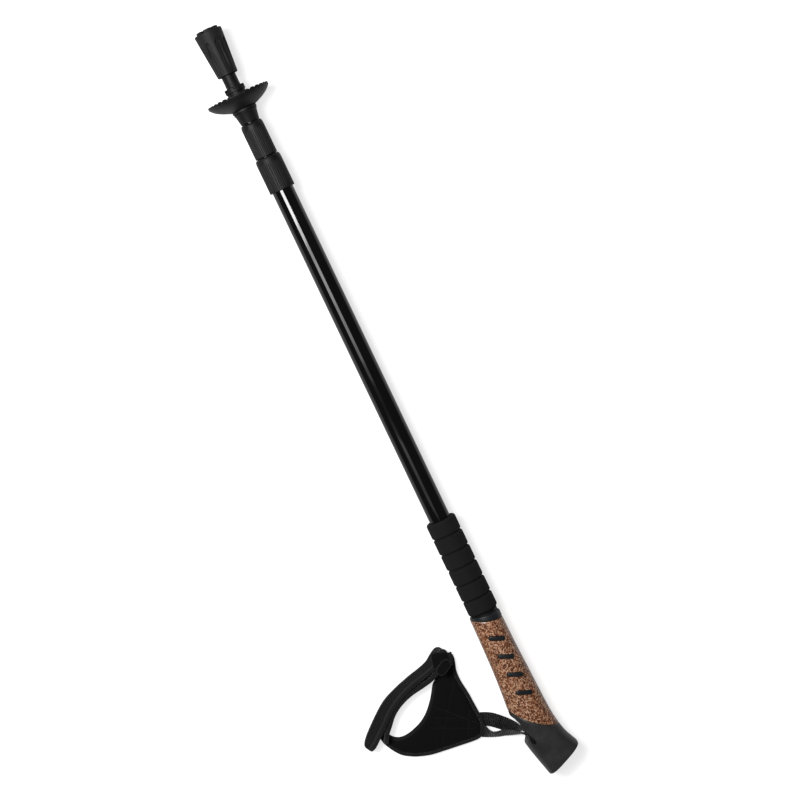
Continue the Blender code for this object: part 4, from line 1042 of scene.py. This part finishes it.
WRIST_UPPER_EDGE = (
    (0.0668, -0.1212, 0.0100), (0.0630, -0.1192, 0.0130), (0.0584, -0.1164, 0.0140),
    (0.0530, -0.1113, 0.0140), (0.0472, -0.1059, 0.0140), (0.0424, -0.0990, 0.0140),
    (0.0388, -0.0909, 0.0140), (0.0366, -0.0825, 0.0140), (0.0353, -0.0730, 0.0140),
    (0.0328, -0.0620, 0.0145), (0.0275, -0.0535, 0.0150), (0.0228, -0.0462, 0.0155),
    (0.0196, -0.0437, 0.0160), (0.0168, -0.0442, 0.0163), (0.0166, -0.0472, 0.0165),
    (0.0205, -0.0518, 0.0165), (0.0258, -0.0572, 0.0163), (0.0286, -0.0665, 0.0160),
    (0.0311, -0.0775, 0.0160), (0.0361, -0.0925, 0.0160), (0.0430, -0.1048, 0.0160),
    (0.0523, -0.1160, 0.0160), (0.0600, -0.1255, 0.0158), (0.0637, -0.1303, 0.0152),
    (0.0656, -0.1335, 0.0135), (0.0662, -0.1352, 0.0112),
)
KEEPER_PATH = (
    (0.0265, -0.0410, 0.0062), (0.0252, -0.0426, 0.0115), (0.0234, -0.0442, 0.0170),
    (0.0215, -0.0475, 0.0186), (0.0195, -0.0520, 0.0186), (0.0188, -0.0565, 0.0184),
)
KEEPER_HALF_WIDTH = 0.0055
KEEPER_THICKNESS = 0.0012
TAB_CENTRE = (0.0275, -0.0502)
TAB_LENGTH = 0.0150
TAB_WIDTH = 0.0090
TAB_ANGLE = radians(-62)
TAB_HEIGHT = 0.0195
TAB_SECTION = (
    (-0.0010, 0.0), (0.0, 0.0004), (0.0, 0.0010), (-0.0008, 0.0014), (-0.0024, 0.0013),
)
TAB_PIPING = 0.00045
ANCHOR_CENTRE = (0.0779, -0.0584)
ANCHOR_ANGLE = radians(67)
ANCHOR_LENGTH = 0.0260
WEBBING_OUT = (
    (0.0838, -0.0455, 0.056, 90), (0.0860, -0.0388, 0.100, 90), (0.0888, -0.0333, 0.22, 87),
    (0.0934, -0.0277, 0.38, 82), (0.0982, -0.0223, 0.55, 70), (0.1022, -0.0178, 0.74, 50),
    (0.1049, -0.0146, 0.90, 24), (0.1073, -0.0121, 0.99, 3),
)
WEBBING_BACK = (
    (0.1098, -0.0128, 0.99, -4), (0.1070, -0.0170, 0.90, -22), (0.1043, -0.0232, 0.68, -34),
    (0.1026, -0.0282, 0.50, -38), (0.1018, -0.0330, 0.42, -34), (0.1000, -0.0378, 0.40, -32),
    (0.0974, -0.0414, 0.34, -46), (0.0944, -0.0440, 0.25, -70), (0.0915, -0.0455, 0.20, -88),
)
BIGHT_STEPS = 10
BIGHT_RADIUS = 0.0027
LAYER_OFFSET = (WEBBING_THICKNESS + SLOT_GAP) / 2
RIB_PITCH = 0.0017
RIB_DEPTH = 0.00045
ANCHOR_THICKNESS = 0.0008
HOOK_HEIGHT = 0.0110
HOOK_THICKNESS = 0.0007
HOOK_FROM_END = (3, 17)
TAPE_WIDTH = 0.0032
TAPE_PROUD = 0.00035
STRAP_CROWN = 0.0004
KEEPER_CROWN = 0.0002
TAB_EDGE_HEIGHT = 0.0011
TAB_EDGE_INSET = 0.0010
TAB_EDGE_PITCH = 0.0007
KEEPER_PITCH = 0.0006
ANCHOR_HEIGHT = 0.0006


def edge_round(away, half):
    """A strip's half thickness near its edge, as a share of the whole."""
    return sqrt(max(0.0, 1 - max(0.0, 1 - away / half) ** 2))


def crowned(share):
    """The height of a crown at a share of the way across."""
    return (4 * share * (1 - share)) ** 0.7


def across_rails(first, second, index):
    """A strip's normal and its width at a row of its rails."""
    before = max(index - 1, 0)
    after = min(index + 1, len(first) - 1)
    run = (first[after] + second[after] - first[before] - second[before]).normalized()
    across = second[index] - first[index]
    return across.cross(run).normalized(), across.length


def band(name, first, second, thickness, crown=0.0, columns=12, ribs=0.0):
    """A strip of cloth between two rails, round at its edges, with a crown or ribs across it."""
    rings = []
    travelled = 0.0
    half = thickness / 2
    for index, (start, end) in enumerate(zip(first, second)):
        normal, width = across_rails(first, second, index)
        if index:
            travelled += ((start + end) / 2 - (first[index - 1] + second[index - 1]) / 2).length
        rib = ribs * RIB_DEPTH * sin(tau * travelled / RIB_PITCH)
        ring = []
        for side in (1, -1):
            for column in range(columns + 1):
                share = column / columns
                share = share if side > 0 else 1 - share
                share = 0.5 - 0.5 * cos(pi * share)
                from_edge = min(share, 1 - share) * width
                lift = half * edge_round(from_edge, half) + crown * crowned(share)
                lift += rib * min(1.0, from_edge / half)
                if 0 < column < columns or side > 0:
                    ring.append(start.lerp(end, share) + normal * side * lift)
        rings.append(ring)
    return skin(name, rings, sharp=60)


def rails_of(lower, upper, pitch):
    """Two rails resampled together at an even pitch along their middle."""
    paired = [Vector((*low, *high)) for low, high in zip(lower, upper)]
    line = smooth_line(paired, 12)
    spread = evenly(line, pitch * 1.4)
    return [on_floor(*point[:3]) for point in spread], [on_floor(*point[3:]) for point in spread]


def make_webbing():
    """One length of ribbed webbing that twists on edge, goes round the pin and comes back on edge."""
    beside = SLOT_ACROSS * LAYER_OFFSET
    pin_height = at(GRIP_START + PIN_CENTRE[0]).z
    route = [(*place[:2], place[2] * pin_height, place[3]) for place in WEBBING_OUT]
    route.extend((*(Vector(place) + beside), pin_height, 0) for place in (SLOT_MOUTH, SLOT_END))
    for step in range(BIGHT_STEPS + 1):
        angle = BIGHT_TURN * (1 - 2 * step / BIGHT_STEPS)
        around = Vector(PIN_CENTRE) + BIGHT_RADIUS * Vector((cos(angle), sin(angle)))
        route.append((*around, pin_height, 0))
    route.extend((*(Vector(place) - beside), pin_height, 0) for place in (SLOT_END, SLOT_MOUTH))
    route.extend((*place[:2], place[2] * pin_height, place[3]) for place in WEBBING_BACK)
    line = [Vector(place[:3]) for place in route]
    edges = []
    for index, (middle, place) in enumerate(zip(line, route)):
        run = line[min(index + 1, len(line) - 1)] - line[max(index - 1, 0)]
        flat = Vector((run.y, -run.x, 0.0)).normalized()
        twist = radians(place[3])
        edge = (flat * sin(twist) - Vector((0, 0, cos(twist)))) * WEBBING_WIDTH / 2
        edges.append((middle - edge, middle + edge))
    first, second = rails_of([low for low, _ in edges], [high for _, high in edges], RIB_PITCH / 8)
    mesh = band("strap_webbing", first, second, WEBBING_THICKNESS, ribs=1.0)
    piece = add("strap_webbing_band", mesh, "webbing", None, "strap_webbing")
    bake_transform(piece)


def inset(points, distance):
    """A closed outline, listed clockwise, moved inwards by a distance."""
    moved = []
    for index, point in enumerate(points):
        along = (points[(index + 1) % len(points)] - points[index - 1]).normalized()
        moved.append(point + Vector((along.y, -along.x)) * distance)
    return moved


def sweep(name, outline, section):
    """A section of (inward, height) points swept round a closed outline on the strap's grid."""
    rings = []
    for index, point in enumerate(outline):
        along = (outline[(index + 1) % len(outline)] - outline[index - 1]).normalized()
        inward = Vector((along.y, -along.x))
        rings.append([on_floor(*(point + inward * away), height) for away, height in section])
    return skin(name, rings, closed=True, sharp=60)


def distance_to(runs, place):
    """The distance from a place to the nearest of some straight runs."""
    least = 1.0
    for start, end in runs:
        run = end - start
        share = max(0.0, min(1.0, (place - start).dot(run) / run.length_squared))
        least = min(least, (place - start - run * share).length)
    return least


SEAMS = (
    ((0.0400, -0.0450), (0.0880, -0.0800)),
    ((0.0560, -0.0730), (0.0880, -0.0430)),
    ((0.0656, -0.0759), (0.0775, -0.0518)),
    ((0.0710, -0.0840), (0.0886, -0.0486)),
    ((0.0720, -0.0470), (0.0930, -0.0575)),
)
PUFF_SCALE = 50.0
PUFF_FRAMES = 20
PUFF_LIMIT = 0.0012
PUFF_VOXEL = 0.0014
PAD_FLOOR = 0.0012
PAD_HOLD = 0.0024
SEAM_SLACK = 0.0010
SEAM_DEPTH = 0.0007
SEAM_HALF_WIDTH = 0.0011
PAD_CROWN = 0.0004
PAD_CROWN_WIDTH = 0.005
PLAIN_CROWN = 0.0009
RUMPLE = 0.0004
PUFF_SETTINGS = {
    "quality": 6,
    "mass": 0.15,
    "tension_stiffness": 6.0,
    "compression_stiffness": 6.0,
    "shear_stiffness": 3.0,
    "bending_stiffness": 0.4,
    "use_pressure": True,
    "uniform_pressure_force": 4.0,
    "vertex_group_mass": "held",
}


def puff(piece, hold):
    """Fills a padded piece by a short cloth simulation. hold says how far a point is held."""
    mesh = piece.data
    old = [vertex.co.copy() for vertex in mesh.vertices]
    group = piece.vertex_groups.new(name="held")
    for vertex in mesh.vertices:
        group.add([vertex.index], hold(vertex.co), "REPLACE")
    mesh.transform(Matrix.Scale(PUFF_SCALE, 4))
    step = piece.modifiers.new("puff", "CLOTH")
    for key, value in PUFF_SETTINGS.items():
        setattr(step.settings, key, value)
    step.settings.effector_weights.gravity = 0.0
    step.collision_settings.use_collision = False
    step.point_cache.frame_start = 1
    step.point_cache.frame_end = PUFF_FRAMES
    for number in range(1, PUFF_FRAMES + 1):
        bpy.context.scene.frame_set(number)
    apply_modifiers(piece)
    bpy.context.scene.frame_set(1)
    piece.data.transform(Matrix.Scale(1 / PUFF_SCALE, 4))
    for vertex, start in zip(piece.data.vertices, old):
        move = vertex.co - start
        if move.length > PUFF_LIMIT:
            vertex.co = start + move.normalized() * PUFF_LIMIT
        vertex.co.z = max(vertex.co.z, PAD_FLOOR)


STITCH_LENGTH = 0.0016
STITCH_PITCH = 0.0027
STITCH_WIDTH = 0.0004
SEAM_PITCH = 0.0009
TAPE_PITCH = 0.0012
CLEAR_HEIGHT = 0.05
PAD_INSET = 0.55
STITCH_INSET = 0.72
BINDING_ROUND = 0.0011


def stitches(name, lines):
    """Short threads, pointed at their ends, along lines of places."""
    work = bmesh.new()
    for line in lines:
        spread = evenly(line, STITCH_PITCH)
        for place, after in zip(spread, spread[1:]):
            along = (after - place).normalized()
            beside = Vector((along.y, -along.x, 0.0)).normalized() * STITCH_WIDTH / 2
            up = Vector((0.0, 0.0, STITCH_WIDTH / 2))
            tips = [work.verts.new(place), work.verts.new(place + along * STITCH_LENGTH)]
            middles = []
            for share in (0.25, 0.75):
                core = place + along * STITCH_LENGTH * share
                middles.append([work.verts.new(core + off) for off in (beside, up, -beside, -up)])
            near, far = middles
            for index in range(4):
                work.faces.new((tips[0], near[index - 1], near[index]))
                work.faces.new((near[index - 1], far[index - 1], far[index], near[index]))
                work.faces.new((tips[1], far[index], far[index - 1]))
    return closed_mesh(name, work, 60)


def filled(name, outline, thickness):
    """A slab over an outline on the strap's grid, about the floor's height."""
    curve = bpy.data.curves.new(name, "CURVE")
    curve.dimensions = "2D"
    curve.fill_mode = "BOTH"
    curve.extrude = thickness / 2
    spline = curve.splines.new("POLY")
    spline.points.add(len(outline) - 1)
    for place, point in zip(spline.points, outline):
        place.co = (*on_floor(*point, 0.0)[:2], 0.0, 1.0)
    spline.use_cyclic_u = True
    guide = place_object(name, curve)
    bpy.context.view_layer.update()
    mesh = bpy.data.meshes.new_from_object(guide.evaluated_get(bpy.context.evaluated_depsgraph_get()))
    bpy.data.objects.remove(guide, do_unlink=True)
    return mesh


def make_pad(outline):
    """The padded palm patch: a crowned pad with sewn seams."""
    middle = PATCH_LIFT + PATCH_THICKNESS / 2
    mesh = filled("patch_fill", outline, PATCH_THICKNESS)
    mesh.transform(Matrix.Translation((0, 0, middle)))
    pad = add("palm_patch_pad", mesh, "padded_fabric", "strap", "palm_patch")
    reshape(pad, "REMESH", mode="VOXEL", voxel_size=PUFF_VOXEL)
    places = [on_floor(*point).to_2d() for point in outline]
    edge = list(zip(places[-1:] + places, places))
    seams = [[on_floor(*end).to_2d() for end in seam] for seam in SEAMS]

    def hold(place):
        away = min(distance_to(edge, place.to_2d()), distance_to(seams, place.to_2d()) + SEAM_SLACK)
        return max(0.0, 1 - away / PAD_HOLD)

    crown = PLAIN_CROWN
    crown = PAD_CROWN
    puff(pad, hold)
    reshape(pad, "SUBSURF", levels=1, render_levels=1)
    for vertex in pad.data.vertices:
        place = vertex.co.to_2d()
        swell = crown * (1 - exp(-distance_to(edge, place) / PAD_CROWN_WIDTH))
        swell -= SEAM_DEPTH * exp(-((distance_to(seams, place) / SEAM_HALF_WIDTH) ** 2))
        swell += RUMPLE * noise.noise(Vector((place.x, place.y, 0.0)) * 60)
        if vertex.co.z > middle:
            vertex.co.z += swell
    pad.data.shade_smooth()
    return pad


def seam_lines(pad):
    """The seams, laid on the pad's top."""
    work = bmesh.new()
    work.from_mesh(pad.data)
    surface = BVHTree.FromBMesh(work)
    work.free()
    lines = []
    for seam in SEAMS:
        line = []
        for point in evenly([on_floor(*end) for end in seam], SEAM_PITCH):
            hit = surface.ray_cast(Vector((point.x, point.y, CLEAR_HEIGHT)), Vector((0.0, 0.0, -1.0)))[0]
            if hit:
                line.append(hit + Vector((0.0, 0.0, 0.0001)))
        lines.append(line)
    return lines


def make_patch():
    """The palm patch's pad, its stitches, and the binding folded round its edge."""
    outline = [point.to_2d() for point in smooth_line(PATCH_OUTLINE, 10, closed=True)]
    outline = evenly(outline, TAPE_PITCH, closed=True)
    lines = seam_lines(make_pad(inset(outline, BINDING_WIDTH * PAD_INSET)))
    edge_line = inset(outline, BINDING_WIDTH * STITCH_INSET)
    lines.append([on_floor(*point, PATCH_LIFT + BINDING_HEIGHT + 0.00005) for point in edge_line])
    add("patch_stitches", stitches("patch_stitches", lines), "binding", "strap", "palm_patch")
    top = PATCH_LIFT + BINDING_HEIGHT
    section = []
    for step in range(17):
        turn = pi * (step / 16 + 0.5)
        height = (PATCH_LIFT + top) / 2 + BINDING_HEIGHT / 2 * sin(turn)
        section.append((BINDING_ROUND * (1 + cos(turn)), height))
    section.extend(((BINDING_WIDTH, PATCH_LIFT + 0.0001), (BINDING_WIDTH, PATCH_LIFT + 0.0006)))
    section.extend(((BINDING_WIDTH - 0.0004, PATCH_LIFT + 0.0012), (BINDING_WIDTH - 0.0004, top - 0.0012)))
    section.extend(((BINDING_WIDTH, top - 0.0005), (BINDING_WIDTH - 0.0002, top - 0.0001)))
    add("patch_binding_tape", sweep("patch_binding", outline, section), "binding", "strap", "patch_binding")


def edge_tape(name, first, second):
    """Binding tape folded over a strap's two edges and both of its ends."""
    count = len(first)
    places = []
    for index, start in enumerate(first):
        places.append((start, index, (second[index] - start).normalized()))
    run = (first[-1] - first[-3]).normalized()
    for step in (0.25, 0.5, 0.75):
        places.append((first[-1].lerp(second[-1], step), count - 1, -run))
    for index in range(count - 1, -1, -1):
        places.append((second[index], index, (first[index] - second[index]).normalized()))
    run = (first[0] - first[2]).normalized()
    for step in (0.75, 0.5, 0.25):
        places.append((first[0].lerp(second[0], step), 0, -run))
    rings = []
    steps = 7
    half = STRAP_THICKNESS / 2
    for number, (place, index, _) in enumerate(places):
        normal, width = across_rails(first, second, index)
        inward = places[number - 1][2] + places[number][2] + places[(number + 1) % len(places)][2]
        inward.normalize()
        outer = []
        inner = []
        for side in (-1, 1):
            for step in range(steps + 1):
                share = step / steps if side > 0 else 1 - step / steps
                away = TAPE_WIDTH * share**1.5
                roundness = edge_round(away, half)
                lift = half * roundness + STRAP_CROWN * crowned(min(0.5, away / width))
                if side < 0 or step:
                    over = normal * side * (lift + TAPE_PROUD * roundness)
                    under = normal * side * max(0.0, lift - TAPE_PROUD)
                    outer.append(place + inward * (away - TAPE_PROUD * (1 - share)) + over)
                    inner.append(place + inward * (away + TAPE_PROUD) + under)
        rings.append(outer + inner[::-1])
    return skin(name, rings, closed=True, sharp=60)


def make_wrist_strap():
    """The padded wrist strap with its binding tape, and the hook panel on its free run."""
    first, second = rails_of(WRIST_LOWER_EDGE, WRIST_UPPER_EDGE, TAPE_PITCH)
    mesh = band("wrist_strap", first, second, STRAP_THICKNESS, crown=STRAP_CROWN, columns=22)
    piece = add("wrist_strap_band", mesh, "padded_fabric", "strap", "wrist_strap")
    add("wrist_strap_tape", edge_tape("wrist_tape", first, second), "binding", "strap", "wrist_strap")
    low = []
    high = []
    last = len(first) - 1
    for index in range(last - HOOK_FROM_END[1], last - HOOK_FROM_END[0] + 1):
        along = (first[min(index + 1, last)] - first[index - 1]).normalized()
        up = (second[index] - first[index]).normalized()
        off = up.cross(along).normalized() * (STRAP_THICKNESS / 2 + STRAP_CROWN + HOOK_THICKNESS / 2 + GAP)
        foot = first[index] + off + up * TAPE_WIDTH * 0.9
        low.append(foot)
        high.append(foot + up * HOOK_HEIGHT * min(1.0, (last - index) / 7 + 0.3))
    panel = band("hook_panel", low, high, HOOK_THICKNESS)
    add("hook_panel_tape", panel, "binding", "strap", "hook_panel", finish=hook_tape)


def make_anchor():
    """The webbing's sewn end under the patch."""
    turn = Matrix.Rotation(ANCHOR_ANGLE, 2)
    count = round(ANCHOR_LENGTH / RIB_PITCH * 8)
    first = []
    second = []
    for step in range(count + 1):
        along = ANCHOR_LENGTH * (step / count - 0.5)
        for side, rail in ((-1, first), (1, second)):
            place = Vector(ANCHOR_CENTRE) + turn @ Vector((along, side * WEBBING_WIDTH / 2))
            rail.append(on_floor(*place, ANCHOR_HEIGHT))
    strip = band("webbing_anchor", first, second, ANCHOR_THICKNESS, ribs=0.3)
    add("webbing_anchor_strip", strip, "webbing", "strap", "webbing_anchor")


def make_keeper():
    """The loop over the fold, and the rounded tab that lies on it."""
    half = Vector((KEEPER_HALF_WIDTH, -KEEPER_HALF_WIDTH * 0.3, 0.0))
    line = evenly(smooth_line(KEEPER_PATH, 10), KEEPER_PITCH)
    first = [on_floor(*(point - half)) for point in line]
    second = [on_floor(*(point + half)) for point in line]
    mesh = band("strap_keeper", first, second, KEEPER_THICKNESS, crown=KEEPER_CROWN)
    add("strap_keeper_band", mesh, "padded_fabric", "strap", "strap_keeper")
    turn = Matrix.Rotation(TAB_ANGLE, 2)

    def tab_outline(grow):
        return [Vector(TAB_CENTRE) + turn @ point for point in pill(TAB_LENGTH + grow, TAB_WIDTH + grow)]

    rings = []
    for grow, height in TAB_SECTION:
        rings.append([on_floor(*point, TAB_HEIGHT + height) for point in tab_outline(grow)])
    mesh = skin("closure_tab", rings)
    add("closure_tab_pad", mesh, "binding", "strap", "closure_tab", finish=finishes["padded_fabric"])
    edge = TAB_HEIGHT + TAB_EDGE_HEIGHT
    section = [(TAB_PIPING * away, edge + TAB_PIPING * up) for away, up in circle(8)]
    outline = evenly(tab_outline(-TAB_EDGE_INSET), TAB_EDGE_PITCH, closed=True)
    mesh = sweep("closure_tab_edge", outline, section)
    add("closure_tab_edge", mesh, "binding", "strap", "closure_tab")


# Carried-over CAD nodes that keep their shape
def dress_nodes():
    slots = {row["node"]: row["material_slot"] for row in frame["record"]["subparts"]}
    for name, obj in frame["nodes"].items():
        if not obj.hide_render:
            for index in range(len(obj.material_slots)):
                obj.material_slots[index].material = finishes[slots[name]]


# Camera, floor and light
CAMERA_PLACE = (-0.15, 0.00715, 1.7)
CAMERA_TURN = (-3.704, -4.078, 64.531)
CAMERA_LENS = 92.579
FLOOR_SIZE = 6.0
FLOOR_GLOW = 0.70
WORLD_STRENGTH = 0.09
KEY_HEIGHT = 1.1
KEY_NEAR = -0.05
KEY_FAR = -0.67
KEY_START = -0.52
KEY_PANELS = (
    (-0.305, 23.0), (-0.260, 13.0), (-0.214, 5.8), (-0.168, 6.6), (-0.123, 6.0), (-0.077, 4.4),
    (-0.032, 3.9), (0.014, 2.6), (0.060, 1.0), (0.105, 0.2), (0.151, 0.1), (0.196, 0.3), (0.242, 1.1),
    (0.287, 0.9), (0.330, 0.65), (0.376, 0.70),
)


def make_camera():
    camera = bpy.data.cameras.new("camera")
    camera.lens = CAMERA_LENS
    camera.sensor_width = 36.0
    camera.clip_end = 30.0
    holder = place_object("camera", camera)
    holder.location = CAMERA_PLACE
    holder.rotation_euler = [radians(angle) for angle in CAMERA_TURN]
    bpy.context.scene.camera = holder


def make_floor():
    """A pale floor that reads as white to the camera and still takes the shadow."""
    work = bmesh.new()
    bmesh.ops.create_grid(work, x_segments=8, y_segments=8, size=FLOOR_SIZE / 2)
    mesh = bpy.data.meshes.new("floor")
    work.to_mesh(mesh)
    work.free()
    made, tree, shader = new_material("pale_floor")
    path = node(tree, "ShaderNodeLightPath")
    seen = reckon(tree, "MAXIMUM", path.outputs["Is Camera Ray"], path.outputs["Is Transmission Ray"])
    inputs = {
        "Base Color": (0.80, 0.80, 0.80, 1.0),
        "Roughness": 0.9,
        "Specular IOR Level": 0.0,
        "Emission Color": (1.0, 1.0, 1.0, 1.0),
        "Emission Strength": reckon(tree, "MULTIPLY", seen, FLOOR_GLOW),
    }
    feed(tree, shader, inputs)
    mesh.materials.append(made)
    floor = place_object("floor", mesh)


def make_world():
    world = bpy.data.worlds.new("studio")
    bpy.context.scene.world = world
    world.use_nodes = True
    inputs = {"Color": (1.0, 1.0, 1.0, 1.0), "Strength": WORLD_STRENGTH}
    feed(world.node_tree, world.node_tree.nodes["Background"], inputs)


def make_lights():
    """One long soft box overhead, in panels whose brightness falls off towards the handle."""
    start = KEY_START
    width = KEY_NEAR - KEY_FAR
    for index, (end, radiance) in enumerate(KEY_PANELS):
        length = end - start
        name = f"key_{index + 1}"
        lamp = bpy.data.lights.new(name, "AREA")
        lamp.shape = "RECTANGLE"
        lamp.size = length
        lamp.size_y = width
        lamp.energy = radiance * pi * length * width
        place_object(name, lamp).location = ((start + end) / 2, (KEY_NEAR + KEY_FAR) / 2, KEY_HEIGHT)
        start = end


make_camera()
for part in ("upper", "middle", "lower"):
    make_tube(f"{part}_tube", f"{part}_section")
make_sleeve("upper_sleeve", "upper_section", "upper_tube")
make_sleeve("lower_sleeve", "middle_section", "middle_tube")
make_tip_holder()
make_basket()
make_foot()
make_foam_grip()
make_collar()
make_inlays(make_cork())
make_cap()
make_pin()
make_webbing()
make_patch()
make_wrist_strap()
make_anchor()
make_keeper()
dress_nodes()
make_floor()
make_world()
make_lights()

bpy.context.scene.view_settings.view_transform = "Standard"
